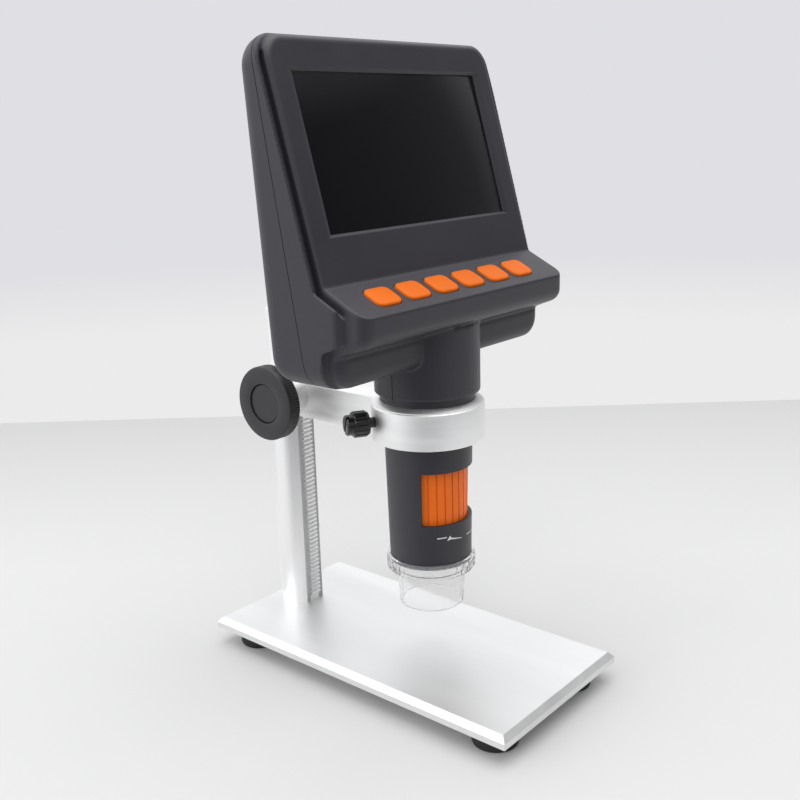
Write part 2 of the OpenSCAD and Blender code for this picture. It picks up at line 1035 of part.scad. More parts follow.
module board_screws() {
    color("gray") {
        at_board_posts()
            translate([0, 0, board_back - 1.2])
                mirror([0, 0, 1])
                    screw(1.9, 1.2, 0.95, 5);
        at_switch_posts()
            translate([0, 0, switch_board_top - 1.2 - 1.2])
                mirror([0, 0, 1])
                    screw(1.9, 1.2, 0.95, 4);
    }
}

// ---------- buttons ----------

module at_button(i) {
    on_shelf()
        translate([(i - 2.5) * button_pitch + button_shift, -button_mid, 0])
            children();
}

module at_buttons() {
    for (i = [0 : 5])
        at_button(i)
            children();
}

module button(i) {
    color([0.96, 0.48, 0.18])
        at_button(i) {
            translate([0, 0, -wall - 0.5])
                round_box(button_w, button_l, wall + 0.5 + button_rise - 0.5, 2);
            translate([0, 0, button_rise - 0.6])
                round_box(button_w - 0.8, button_l - 0.8, 0.6, 1.7);
            translate([0, 0, -wall - button_plate])
                round_box(button_w + 2, button_l + 2, button_plate, 2.4);
            translate([0, 0, -wall - button_plate - 0.8])
                cylinder(r = 1.6, h = 1);
        }
}

module power_button() {
    button(0);
}

module menu_button() {
    button(1);
}

module capture_button() {
    button(2);
}

module up_button() {
    button(3);
}

module down_button() {
    button(4);
}

module play_button() {
    button(5);
}

module switch_board() {
    color("darkgreen")
        difference() {
            union() {
                on_shelf()
                    translate([-54, -button_mid - 4, switch_board_top - 1.2])
                        cube([108, 8, 1.2]);
                at_buttons() {
                    translate([-2.6, -2.6, switch_board_top - 0.2])
                        cube([5.2, 5.2, 2]);
                    translate([0, 0, switch_board_top])
                        cylinder(r = 1.4, h = 2.4);
                }
            }
            at_switch_posts()
                translate([0, 0, switch_board_top - 2])
                    cylinder(r = 1.2, h = 4);
        }
}

// ---------- sockets ----------

socket_usb_y = -14;
socket_card_y = 2;

module usb_socket() {
    color("silver")
        on_face()
            difference() {
                translate([head_half - 7.4, socket_usb_y - 3.8, board_back - 2.8])
                    cube([6.6, 7.6, 2.8]);
                translate([head_half - 6.4, socket_usb_y - 3.4, board_back - 2.4])
                    cube([8, 6.8, 2]);
            }
}

module card_socket() {
    color("silver")
        on_face()
            difference() {
                translate([head_half - 14, socket_card_y - 5.8, board_back - 1.9])
                    cube([13.6, 11.6, 1.9]);
                translate([head_half - 13.4, socket_card_y - 5.5, board_back - 1.6])
                    cube([15, 11, 1.1]);
            }
}

// ---------- barrel ----------

module barrel() {
    color([0.26, 0.26, 0.28])
        at_barrel()
            difference() {
                union() {
                    translate([0, 0, barrel_bottom])
                        cylinder(r = barrel_end_r, h = 3);
                    translate([0, 0, barrel_bottom + 3])
                        cylinder(r1 = barrel_end_r, r2 = barrel_top_r, h = barrel_l - 2.7);
                    translate([0, 0, holder_bottom + 0.3])
                        cylinder(r = journal_head_r, h = flange_low - holder_bottom);
                    translate([0, 0, flange_low])
                        cylinder(r = flange_r, h = flange_high - flange_low);
                }
                translate([0, 0, barrel_bottom - 1])
                    cylinder(r = barrel_bore_r, h = shoulder_z - barrel_bottom + 1);
                translate([0, 0, shoulder_z - 1])
                    cylinder(r = barrel_bore_r - 2.4, h = far);
                translate([0, 0, sensor_seat])
                    cylinder(r = ring_bore_r - 2.4, h = far);
                translate([0, 0, window_low])
                    linear_extrude(window_high - window_low)
                        polygon([
                            [0, 0],
                            for (k = [-1 : 0.5 : 1])
                                60 * [cos(270 + k * window_half), sin(270 + k * window_half)]
                        ]);
            }
}

module focus_wheel() {
    color([0.9, 0.42, 0.16])
        at_barrel(wheel_low)
            difference() {
                union() {
                    cylinder(r = wheel_r - 0.7, h = wheel_high - wheel_low);
                    translate([0, 0, 0.6])
                        linear_extrude(wheel_high - wheel_low - 1.2)
                            polygon([
                                for (i = [0 : wheel_ribs - 1])
                                    for (q = [[-0.34, -0.6], [-0.22, 0], [0.22, 0], [0.34, -0.6]])
                                        (wheel_r + q[1]) * [
                                            cos((i + q[0]) * 360 / wheel_ribs),
                                            sin((i + q[0]) * 360 / wheel_ribs)
                                        ]
                            ]);
                }
                translate([0, 0, -1])
                    cylinder(r = wheel_bore_r, h = far);
            }
}

module lens_carrier() {
    color("black")
        at_barrel(carrier_z)
            difference() {
                cylinder(r = wheel_bore_r - 0.08, h = carrier_l);
                translate([0, 0, -1])
                    cylinder(r = lens_r - 1.5, h = carrier_l + 2);
                translate([0, 0, 4])
                    cylinder(r = lens_r + 0.02, h = carrier_l);
            }
}

module objective_lens() {
    color([0.75, 0.85, 0.9, 0.5])
        at_barrel(carrier_z + 4)
            intersection() {
                cylinder(r = lens_r, h = 4);
                translate([0, 0, 4 - 24])
                    sphere(r = 24);
                translate([0, 0, 24])
                    sphere(r = 24);
            }
}

module sensor_board() {
    color("darkgreen")
        at_barrel(sensor_seat) {
            cylinder(r = ring_bore_r - 2.6, h = 1.6);
            translate([-4.5, -4.5, -1])
                cube([9, 9, 1.5]);
            translate([-7, 5, 1.5])
                cube([14, 4, 2]);
        }
}

module led_holder() {
    color([0.15, 0.15, 0.16])
        at_barrel(led_low)
            difference() {
                cylinder(r = barrel_bore_r - 0.03, h = wheel_low - 0.25 - led_low);
                translate([0, 0, -1])
                    cylinder(r = barrel_bore_r - 1.4, h = 2.6);
                translate([0, 0, -1])
                    cylinder(r = 8, h = far);
            }
}

module led_board() {
    color("white")
        at_barrel(led_low + 0.4)
            tube(barrel_bore_r - 1.5, 7, 1.2);
}

module leds() {
    color([1, 0.95, 0.75])
        at_barrel(led_low - 0.4)
            for (i = [0 : 7])
                rotate([0, 0, i * 45 + 22.5])
                    translate([10.4, 0, 0.4])
                        cube([2.8, 2.8, 0.8], center = true);
}

module clear_skirt() {
    color([0.85, 0.9, 0.92, 0.4])
        at_barrel() {
            rotate_extrude()
                polygon([
                    [12.6, skirt_bottom],
                    [13.4, collar_bottom - 1],
                    [collar_r - 0.5, collar_bottom],
                    [collar_r, collar_bottom + 0.5],
                    [collar_r, collar_top],
                    [barrel_end_r + 0.1, collar_top],
                    [barrel_end_r + 0.1, barrel_bottom],
                    [spigot_r, barrel_bottom],
                    [spigot_r, spigot_top],
                    [13.4, spigot_top],
                    [13.4, collar_bottom + 0.4],
                    [12.3, collar_bottom - 0.6],
                    [11.5, skirt_bottom]
                ]);
            difference() {
                translate([0, 0, collar_bottom + 0.9])
                    linear_extrude(collar_top - collar_bottom - 1.7)
                        coarse_rim(collar_r + 0.3, 48);
                translate([0, 0, collar_bottom])
                    cylinder(r = collar_r - 0.4, h = 20);
            }
        }
}

base_plate();
rubber_feet();
foot_screws();
column();
rack();
column_screws();
holder_arm();
pinion_shaft();
shaft_bushing();
shaft_clip();
height_knob();
knob_cap();
thumb_screw();
front_shell();
rear_shell();
screen_window();
display_panel();
main_board();
battery();
power_button();
menu_button();
capture_button();
up_button();
down_button();
play_button();
switch_board();
usb_socket();
card_socket();
shell_screws();
board_screws();
barrel();
focus_wheel();
lens_carrier();
objective_lens();
sensor_board();
led_holder();
led_board();
leds();
clear_skirt();
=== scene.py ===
import bpy
import bmesh
from math import radians, sin, cos, tan, pi
from mathutils import Matrix, Vector


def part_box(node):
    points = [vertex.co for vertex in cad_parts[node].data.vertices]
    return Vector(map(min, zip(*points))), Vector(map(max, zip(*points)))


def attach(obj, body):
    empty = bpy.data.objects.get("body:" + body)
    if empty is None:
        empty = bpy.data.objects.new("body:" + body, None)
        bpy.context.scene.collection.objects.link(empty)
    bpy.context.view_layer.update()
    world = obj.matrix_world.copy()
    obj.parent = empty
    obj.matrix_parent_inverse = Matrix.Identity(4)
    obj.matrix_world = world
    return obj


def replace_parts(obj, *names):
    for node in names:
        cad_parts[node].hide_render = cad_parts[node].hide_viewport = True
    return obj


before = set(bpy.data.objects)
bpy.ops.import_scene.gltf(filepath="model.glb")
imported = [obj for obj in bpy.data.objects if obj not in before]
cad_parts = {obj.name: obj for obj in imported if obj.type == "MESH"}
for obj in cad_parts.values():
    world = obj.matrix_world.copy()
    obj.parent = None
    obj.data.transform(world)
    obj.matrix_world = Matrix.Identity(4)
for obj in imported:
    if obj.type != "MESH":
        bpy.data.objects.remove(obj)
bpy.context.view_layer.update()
mm = 0.001
same = 0.01 * mm      # points nearer than this are taken as one


def stage(text):
    print("microscope:", text)


def inMetres(sizes):
    return {key: value * mm for key, value in sizes.items()}


# places read from the frame, all in metres
barrelLow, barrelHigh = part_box("barrel")
axisY = (barrelLow.y + barrelHigh.y) / 2      # the barrel's upright axis
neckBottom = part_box("rear_shell")[0].z
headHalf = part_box("front_shell")[1].x


def newMaterial(name):
    made = bpy.data.materials.new(name)
    made.use_nodes = True
    return made, made.node_tree.nodes, made.node_tree.links, made.node_tree.nodes["Principled BSDF"]


def objectPattern(nodes, links, kind, scale, stretch=(1, 1, 1), **values):
    coords = nodes.new("ShaderNodeTexCoord")
    place = nodes.new("ShaderNodeMapping")
    place.inputs["Scale"].default_value = stretch
    pattern = nodes.new(kind)
    pattern.inputs["Scale"].default_value = scale
    for key, value in values.items():
        pattern.inputs[key].default_value = value
    links.new(coords.outputs["Object"], place.inputs["Vector"])
    links.new(place.outputs["Vector"], pattern.inputs["Vector"])
    return pattern


def ramp(nodes, links, source, low, high, start=0.3, end=0.7):
    band = nodes.new("ShaderNodeMapRange")
    band.inputs["From Min"].default_value = start
    band.inputs["From Max"].default_value = end
    band.inputs["To Min"].default_value = low
    band.inputs["To Max"].default_value = high
    links.new(source, band.inputs["Value"])
    return band.outputs["Result"]


def colourBlend(nodes, links, source, first, second):
    # each of the two is a colour or another node's output
    mix = nodes.new("ShaderNodeMix")
    mix.data_type = "RGBA"
    for socket, value in ((mix.inputs[6], first), (mix.inputs[7], second)):
        if isinstance(value, bpy.types.NodeSocket):
            links.new(value, socket)
        else:
            socket.default_value = (*value, 1)
    links.new(source, mix.inputs["Factor"])
    return mix.outputs[2]


def along(nodes, links, source, vector):
    dot = nodes.new("ShaderNodeVectorMath")
    dot.operation = "DOT_PRODUCT"
    dot.inputs[1].default_value = vector
    links.new(source, dot.inputs[0])
    return dot.outputs["Value"]


def mathNode(nodes, links, operation, *sources):
    made = nodes.new("ShaderNodeMath")
    made.operation = operation
    for socket, source in zip(made.inputs, sources):
        links.new(source, socket)
    return made.outputs[0]


def bumpFrom(nodes, links, source, strength, distance, before=None):
    bump = nodes.new("ShaderNodeBump")
    bump.inputs["Strength"].default_value = strength
    bump.inputs["Distance"].default_value = distance
    links.new(source, bump.inputs["Height"])
    if before is not None:
        links.new(before, bump.inputs["Normal"])
    return bump.outputs["Normal"]


# depths in millimetres, and how far the roughness drifts to each side of its own value
surface = {"plasticDeep": 0.06, "metalDeep": 0.03, "plasticDrift": (-0.04, 0.05), "metalDrift": (-0.05, 0.05),
           "cloud": 26, "haze": 300, "hazeShare": (0.5, 1.5)}


def mouldedPlastic(name, look):
    # fine spark-etched grain, a slow change of tone and of gloss
    made, nodes, links, shader = newMaterial(name)
    grain = objectPattern(nodes, links, "ShaderNodeTexNoise", look["grain"], Detail=3, Roughness=0.6)
    cloud = objectPattern(nodes, links, "ShaderNodeTexNoise", surface["cloud"], Detail=2).outputs["Fac"]
    tone = ramp(nodes, links, cloud, 0, 1)
    links.new(colourBlend(nodes, links, tone, look["dark"], look["light"]), shader.inputs["Base Color"])
    rough = [look["rough"] + drift for drift in surface["plasticDrift"]]
    links.new(ramp(nodes, links, cloud, *rough), shader.inputs["Roughness"])
    etched = bumpFrom(nodes, links, grain.outputs["Fac"], look["bump"], surface["plasticDeep"] * mm)
    links.new(etched, shader.inputs["Normal"])
    shader.inputs["Specular IOR Level"].default_value = look.get("shine", 0.5)
    return made


def satinMetal(name, look):
    # bead-blasted or turned metal: fine grain, faint streaks along "stretch"
    made, nodes, links, shader = newMaterial(name)
    shader.inputs["Metallic"].default_value = look.get("metal", 1.0)
    grain = objectPattern(nodes, links, "ShaderNodeTexNoise", look["grain"], Detail=2).outputs["Fac"]
    streak = objectPattern(nodes, links, "ShaderNodeTexNoise", look["streaks"], look["stretch"], Detail=3)
    streak = streak.outputs["Fac"]
    tone = ramp(nodes, links, streak, 0, 1)
    links.new(colourBlend(nodes, links, tone, look["dark"], look["light"]), shader.inputs["Base Color"])
    rough = [look["rough"] + drift for drift in surface["metalDrift"]]
    links.new(ramp(nodes, links, streak, *rough), shader.inputs["Roughness"])
    blasted = bumpFrom(nodes, links, grain, look["bump"], surface["metalDeep"] * mm)
    brushed = bumpFrom(nodes, links, streak, look["bump"], surface["metalDeep"] * mm, blasted)
    links.new(brushed, shader.inputs["Normal"])
    return made


def clearPlastic(name, look):
    made, nodes, links, shader = newMaterial(name)
    shader.inputs["Base Color"].default_value = (*look["tint"], 1)
    shader.inputs["Transmission Weight"].default_value = look.get("clear", 1)
    shader.inputs["IOR"].default_value = look["ior"]
    haze = objectPattern(nodes, links, "ShaderNodeTexNoise", surface["haze"], Detail=3).outputs["Fac"]
    rough = [look["rough"] * share for share in surface["hazeShare"]]
    links.new(ramp(nodes, links, haze, *rough), shader.inputs["Roughness"])
    return made


housingBlack = mouldedPlastic("housingBlack", {
    "dark": (0.0275, 0.0262, 0.0335), "light": (0.0325, 0.0308, 0.0390), "rough": 0.42,
    "grain": 5200, "bump": 0.35})
buttonOrange = mouldedPlastic("buttonOrange", {
    "dark": (0.84, 0.158, 0.002), "light": (0.89, 0.172, 0.003), "rough": 0.48, "grain": 3500, "bump": 0.12,
    "shine": 0.22})
wheelOrange = mouldedPlastic("wheelOrange", {
    "dark": (0.97, 0.174, 0.004), "light": (1.0, 0.192, 0.006), "rough": 0.48, "grain": 3000, "bump": 0.2,
    "shine": 0.4})
knobBlack = mouldedPlastic("knobBlack", {
    "dark": (0.021, 0.0205, 0.0235), "light": (0.027, 0.0265, 0.0295), "rough": 0.44,
    "grain": 4200, "bump": 0.3})
screwBlack = mouldedPlastic("screwBlack", {
    "dark": (0.010, 0.010, 0.011), "light": (0.016, 0.016, 0.017), "rough": 0.30, "grain": 2600, "bump": 0.4})
printWhite = mouldedPlastic("printWhite", {
    "dark": (0.80, 0.80, 0.80), "light": (0.88, 0.88, 0.88), "rough": 0.5, "grain": 3000, "bump": 0.1})
footRubber = mouldedPlastic("footRubber", {
    "dark": (0.012, 0.012, 0.012), "light": (0.022, 0.022, 0.022), "rough": 0.72, "grain": 2500, "bump": 0.5})
displayBlack = mouldedPlastic("displayBlack", {
    "dark": (0.003, 0.003, 0.004), "light": (0.004, 0.004, 0.006), "rough": 0.30,
    "grain": 4000, "bump": 0.02})
boardGreen = mouldedPlastic("boardGreen", {
    "dark": (0.01, 0.10, 0.045), "light": (0.015, 0.14, 0.06), "rough": 0.35, "grain": 900, "bump": 0.15})
cellWrap = mouldedPlastic("cellWrap", {
    "dark": (0.38, 0.41, 0.48), "light": (0.45, 0.48, 0.55), "rough": 0.3, "grain": 500, "bump": 0.2})
lampCream = mouldedPlastic("lampCream", {
    "dark": (0.88, 0.80, 0.45), "light": (0.95, 0.88, 0.55), "rough": 0.3, "grain": 900, "bump": 0.1})
plateSatin = satinMetal("plateSatin", {
    "dark": (0.81, 0.815, 0.81), "light": (0.86, 0.865, 0.86), "rough": 0.46, "grain": 5200, "bump": 0.25,
    "streaks": 60, "stretch": (1, 0.15, 1)})
postSatin = satinMetal("postSatin", {
    "dark": (0.90, 0.90, 0.90), "light": (0.96, 0.96, 0.96), "rough": 0.42, "grain": 4200, "bump": 0.15,
    "streaks": 500, "stretch": (1, 1, 0.02)})
ringSatin = satinMetal("ringSatin", {
    "dark": (0.90, 0.90, 0.89), "light": (0.96, 0.96, 0.95), "rough": 0.52, "grain": 4200, "bump": 0.2,
    "streaks": 300, "stretch": (0.1, 0.1, 1)})
milledMetal = satinMetal("milledMetal", {
    "dark": (0.88, 0.88, 0.88), "light": (0.95, 0.95, 0.95), "rough": 0.42, "grain": 2500, "bump": 0.3,
    "streaks": 900, "stretch": (0.05, 1, 1)})
screwSteel = satinMetal("screwSteel", {
    "dark": (0.42, 0.42, 0.43), "light": (0.56, 0.56, 0.56), "rough": 0.3, "grain": 2500, "bump": 0.2,
    "streaks": 600, "stretch": (1, 1, 1)})
screenCover = clearPlastic("screenCover", {"tint": (0.20, 0.20, 0.24), "ior": 1.26, "rough": 0.10})
lensGlass = clearPlastic("lensGlass", {"tint": (0.96, 0.98, 1.0), "ior": 1.52, "rough": 0.01})
skirtClear = clearPlastic("skirtClear", {
    "tint": (0.97, 0.97, 0.97), "ior": 1.13, "rough": 0.10, "clear": 0.9})

buttonNames = ["power_button", "menu_button", "capture_button", "up_button", "down_button", "play_button"]
nodeFinish = {
    "base_plate": plateSatin, "rubber_feet": footRubber, "foot_screws": screwSteel, "column": postSatin,
    "rack": milledMetal, "column_screws": screwSteel, "holder_arm": ringSatin, "pinion_shaft": screwSteel,
    "shaft_bushing": knobBlack, "shaft_clip": screwSteel, "height_knob": knobBlack, "knob_cap": knobBlack,
    "thumb_screw": screwBlack, "front_shell": housingBlack, "rear_shell": housingBlack,
    "screen_window": screenCover, "display_panel": displayBlack, "main_board": boardGreen,
    "battery": cellWrap, "switch_board": boardGreen, "usb_socket": screwSteel, "card_socket": screwSteel,
    "shell_screws": screwSteel, "board_screws": screwSteel, "barrel": housingBlack,
    "focus_wheel": wheelOrange, "lens_carrier": knobBlack, "objective_lens": lensGlass,
    "sensor_board": boardGreen, "led_holder": knobBlack, "led_board": lampCream, "leds": lampCream,
    "clear_skirt": skirtClear, **{name: buttonOrange for name in buttonNames}}

for nodeName, material in nodeFinish.items():
    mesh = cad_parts[nodeName].data
    mesh.materials.clear()
    mesh.materials.append(material)
stage("finishes are on the frame's pieces")


# ways of working a mesh
def meshOf(bm, name):
    mesh = bpy.data.meshes.new(name)
    bm.to_mesh(mesh)
    bm.free()
    return mesh


def worked(mesh, *steps):
    # the mesh after its modifiers, each given as a kind and its settings
    bench = bpy.data.objects.new("bench", mesh)
    bpy.context.scene.collection.objects.link(bench)
    for kind, values in steps:
        modifier = bench.modifiers.new(kind.lower(), kind)
        for key, value in values.items():
            setattr(modifier, key, value)
    ready = bench.evaluated_get(bpy.context.evaluated_depsgraph_get())
    done = bpy.data.meshes.new_from_object(ready)
    bpy.data.objects.remove(bench)
    return done


def cut(mesh, cutter, how="DIFFERENCE"):
    # the mesh without the cutter's shape, or only what they share, or both as one
    tool = bpy.data.objects.new("cutter", meshOf(cutter, "cutter"))
    bpy.context.scene.collection.objects.link(tool)
    done = worked(mesh, ("BOOLEAN", {"operation": how, "solver": "MANIFOLD", "object": tool}))
    bpy.data.objects.remove(tool)
    return done


def joinedWith(bm, other):
    # one mesh from two overlapping closed shapes
    return cut(meshOf(bm, "base"), other, "UNION")


def finished(mesh, name, body, material, sharpAt=32):
    # smooth faces, with the edges kept sharp that turn by more than sharpAt degrees
    bm = bmesh.new()
    bm.from_mesh(mesh)
    for face in bm.faces:
        face.smooth = True
    for edge in bm.edges:
        edge.smooth = len(edge.link_faces) == 2 and edge.calc_face_angle(0) < radians(sharpAt)
    bm.to_mesh(mesh)
    bm.free()
    mesh.materials.clear()
    mesh.materials.append(material)
    piece = bpy.data.objects.new(name, mesh)
    bpy.context.scene.collection.objects.link(piece)
    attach(piece, body)
    return piece


def roundOff(bm, edges, radius, segments, clamped=True):
    bmesh.ops.bevel(bm, geom=edges, offset=radius, offset_type="OFFSET", segments=segments,
                    profile=0.5, affect="EDGES", material=-1, clamp_overlap=clamped)


def extruded(bm, faces):
    # the vertices that the extrusion makes
    grown = bmesh.ops.extrude_face_region(bm, geom=faces)["geom"]
    return [part for part in grown if isinstance(part, bmesh.types.BMVert)]


def spread(outline, half):
    # an outline in Y and Z, spread to both sides of the middle
    bm = bmesh.new()
    side = bm.faces.new([bm.verts.new((-half, point.y, point.z)) for point in outline])
    bmesh.ops.translate(bm, verts=extruded(bm, [side]), vec=(2 * half, 0, 0))
    bmesh.ops.recalc_face_normals(bm, faces=bm.faces)
    return bm


def endEdges(bm, half, first, last):
    # the edges from one point of the outline to another, on both ends of a spread shape
    wanted = []
    for side in (-half, half):
        ends = [Vector((side, point.y, point.z)) for point in (first, last)]
        for edge in bm.edges:
            a, b = (vert.co for vert in edge.verts)
            apart = [(a - one).length + (b - other).length for one, other in (ends, ends[::-1])]
            if min(apart) < same:
                wanted.append(edge)
    return wanted


def onPlane(edge, point, normal):
    return all(abs((vert.co - point).dot(normal)) < same for vert in edge.verts)


def onSide(edge, half):
    return abs(edge.verts[0].co.x + edge.verts[1].co.x) > 2 * (half - same)


def rimEdges(bm, point, normal):
    # the edges round the flat side that holds the point and faces along the normal
    bm.normal_update()
    unit = normal.normalized()
    flat = {face for face in bm.faces if abs(face.normal.dot(unit)) > 0.9999
            and all(abs((vert.co - point).dot(unit)) < same for vert in face.verts)}
    return [edge for face in flat for edge in face.edges if len(set(edge.link_faces) & flat) == 1]


# the screen housing: one soft form, split along its seam into two hollow halves
housing = {
    "screenLean": 15.4, "shelfSlope": 27, "seamLean": 9.3,     # degrees, the rest in millimetres
    "creaseAhead": 6.45, "creaseUp": 34.24, "faceLength": 83.7, "faceMiddle": 44.3, "shelfLength": 18.8,
    "lipHigh": 9.1, "lipAhead": 0.2, "blockAhead": 11.7, "blockHigh": 12.1, "rearBehind": 20.3,
    "topDeep": 12.5, "topStep": 1, "plateauDeep": 5, "neckHigh": 12.2, "neckRadius": 20.1, "neckInto": 14,
    "flange": 3.2, "flangeStep": 2, "flangeShelf": 11.6, "flangeHigh": 16.6, "flangeLow": 13.1,
    "flangeBack": 5, "flangeEnd": 2.8, "ridge": 1.4, "ridgeSide": 3, "ridgeTop": 1.2,
    "valley": 2.1, "valleyEdge": 0.8, "valleyCorner": 9.2, "lipEdge": 3.4, "lipCorner": 5,
    "faceEdge": 2, "faceCorner": 8, "bodyCorner": 8.7, "lowCorner": 9, "rearEdge": 8,
    "blockCorner": 8, "blockEdge": 4.5, "blockInto": 2, "wall": 2, "hollowStep": 6.4, "hollowDeep": 8,
    "seamGap": 0.28, "voxel": 0.5, "smoothing": 5}             # smoothing counts the passes
shell = inMetres(housing)
across = Vector((1, 0, 0))


def up(lean):
    return Vector((0, sin(radians(lean)), cos(radians(lean))))


def behind(lean):
    return Vector((0, cos(radians(lean)), -sin(radians(lean))))


faceUp, faceBack = up(housing["screenLean"]), behind(housing["screenLean"])
shelfAhead = -behind(-housing["shelfSlope"])
shelfOut = up(-housing["shelfSlope"])
blockLow = neckBottom + shell["neckHigh"]
crease = Vector((0, axisY - shell["creaseAhead"], blockLow + shell["creaseUp"]))
faceTop = crease + shell["faceLength"] * faceUp
shelfEdge = crease + shell["shelfLength"] * shelfAhead
blockFront = axisY - shell["blockAhead"]
rearY = axisY + shell["rearBehind"]
onShelf = Matrix((across, -shelfAhead, shelfOut)).transposed().to_4x4()
onShelf.translation = crease
onFace = Matrix((across, faceUp, -faceBack)).transposed().to_4x4()
onFace.translation = crease + shell["faceMiddle"] * faceUp


def at(y, z):
    return Vector((0, y, z))


def creaseBehind(depth):
    # where the face and the shelf meet when both are set back by depth
    return crease + depth / (1 - faceBack.dot(shelfOut)) * (faceBack - shelfOut)


def shelfBehind(depth, y):
    start = creaseBehind(depth)
    return start + (y - start.y) / shelfAhead.y * shelfAhead


def plateau(margin, deep):
    # the raised front: screen face, button shelf and lip
    half = headHalf - shell["flange"] - margin
    top = faceTop - (shell["topStep"] + margin) * faceUp
    lipLow = shelfEdge + at(-shell["lipAhead"], -shell["lipHigh"]) + at(margin, margin)
    backLow = crease + deep * faceBack + (blockLow + shell["blockHigh"] - crease.z) / faceUp.z * faceUp
    outline = [top + margin * faceBack, creaseBehind(margin), shelfBehind(margin, lipLow.y), lipLow,
               at(blockFront + margin, blockLow + shell["blockHigh"] + margin), backLow,
               top + deep * faceBack]
    bm = spread(outline, half)
    roundOff(bm, endEdges(bm, half, outline[0], outline[6]), shell["faceCorner"] - margin, 8)
    roundOff(bm, endEdges(bm, half, outline[2], outline[3]), shell["lipCorner"] - margin, 7)
    if margin == 0:
        under = rimEdges(bm, outline[3], (outline[3] - outline[4]).cross(across))
        under = [edge for edge in under if not onPlane(edge, outline[4], Vector((0, 1, 0)))]
        roundOff(bm, under, shell["lipEdge"], 6, clamped=False)
        face = rimEdges(bm, outline[0], faceBack)
        roundOff(bm, [edge for edge in face if not onPlane(edge, crease, faceUp)], shell["faceEdge"], 5)
    return bm


def lowerBlock():
    half = headHalf - shell["flange"]
    top = blockLow + shell["blockHigh"] + shell["blockInto"]
    outline = [at(blockFront, top), at(blockFront, blockLow), at(axisY, blockLow), at(axisY, top)]
    bm = spread(outline, half)
    roundOff(bm, endEdges(bm, half, outline[1], outline[2]), shell["blockCorner"], 8)
    roundOff(bm, rimEdges(bm, outline[0], Vector((0, 1, 0))), shell["blockEdge"], 6)
    return bm


def flangedBody(margin, step):
    # the body behind the raised front, as wide as the whole head
    half = headHalf - margin
    shelfEnd = creaseBehind(step) + shell["flangeShelf"] * shelfAhead
    low = blockLow + margin
    front = blockFront + shell["flangeBack"] + margin
    outline = [faceTop + step * faceBack - margin * faceUp, creaseBehind(step), shelfEnd,
               at(shelfEnd.y, blockLow + shell["flangeHigh"]),
               at(front, blockLow + shell["flangeLow"] + margin), at(front, low), at(rearY - margin, low),
               faceTop + (shell["topDeep"] - margin) * faceBack - margin * faceUp]
    bm = spread(outline, half)
    roundOff(bm, endEdges(bm, half, outline[0], outline[7]), shell["bodyCorner"] - margin, 10)
    roundOff(bm, endEdges(bm, half, outline[5], outline[6]), shell["lowCorner"] - margin, 8)
    rear = rimEdges(bm, outline[6], (outline[7] - outline[6]).cross(across))
    roundOff(bm, rear, shell["rearEdge"] - margin, 8)
    if margin == 0:
        roundOff(bm, endEdges(bm, half, outline[2], outline[3]), shell["flangeEnd"], 5)
        top = [edge for edge in rimEdges(bm, outline[0], faceBack) if not onPlane(edge, outline[1], faceUp)]
        roundOff(bm, [edge for edge in top if not onSide(edge, half)], shell["ridgeTop"], 4)
        rims = rimEdges(bm, outline[0], faceBack) + rimEdges(bm, outline[2], shelfOut)
        roundOff(bm, [edge for edge in rims if onSide(edge, half)], shell["ridgeSide"], 6)
    return bm


def valleyTool():
    # clears the flange beside the raised front and leaves its outer edge as a ridge
    half = headHalf - shell["ridge"]
    depth = shell["flangeStep"] + shell["valley"]
    top = faceTop - shell["ridge"] * faceUp
    ahead, runOut = 30 * mm, 40 * mm      # well clear of the form
    shelfEnd = creaseBehind(depth) + runOut * shelfAhead
    outline = [top + depth * faceBack, creaseBehind(depth), shelfEnd, shelfEnd - at(ahead, 0),
               creaseBehind(depth) - ahead * faceBack - at(ahead, 0), top + (depth - ahead) * faceBack]
    bm = spread(outline, half)
    roundOff(bm, endEdges(bm, half, outline[0], outline[5]), shell["valleyCorner"], 8)
    for start, end in ((0, 1), (1, 2)):
        roundOff(bm, endEdges(bm, half, outline[start], outline[end]), shell["valleyEdge"], 3)
    return bm


def seamTool(shift):
    # everything on the user's side of the seam
    lean = tan(radians(housing["seamLean"]))
    far = 200 * mm      # well clear of the form
    return spread([at(-far, -far), at(axisY + shift, -far), at(axisY + shift, blockLow),
                   at(axisY + shift + far * lean, blockLow + far), at(-far, blockLow + far)], far)


def post(bm, radius, low, high, place=Matrix()):
    # an upright round, from low to high along the local Z of a place
    middle = Matrix.Translation((0, 0, (low + high) / 2))
    bmesh.ops.create_cone(bm, cap_ends=True, segments=48, radius1=radius, radius2=radius, depth=high - low,
                          matrix=place @ middle)


def block(bm, width, length, low, high, place=Matrix()):
    middle = Matrix.Translation((0, 0, (low + high) / 2))
    shape = Matrix.Diagonal((width, length, high - low, 1))
    return bmesh.ops.create_cube(bm, size=1, matrix=place @ middle @ shape)


def housingForm():
    body = cut(meshOf(flangedBody(0, shell["flangeStep"]), "body"), valleyTool())
    bm = bmesh.new()
    bm.from_mesh(body)
    for part in (plateau(0, shell["plateauDeep"]), lowerBlock()):
        bm.from_mesh(meshOf(part, "part"))
    post(bm, shell["neckRadius"], neckBottom, blockLow + shell["neckInto"], Matrix.Translation((0, axisY, 0)))
    return worked(meshOf(bm, "form"),
                  ("REMESH", {"mode": "VOXEL", "voxel_size": shell["voxel"], "use_smooth_shade": True}),
                  ("SMOOTH", {"factor": 0.5, "iterations": housing["smoothing"]}))


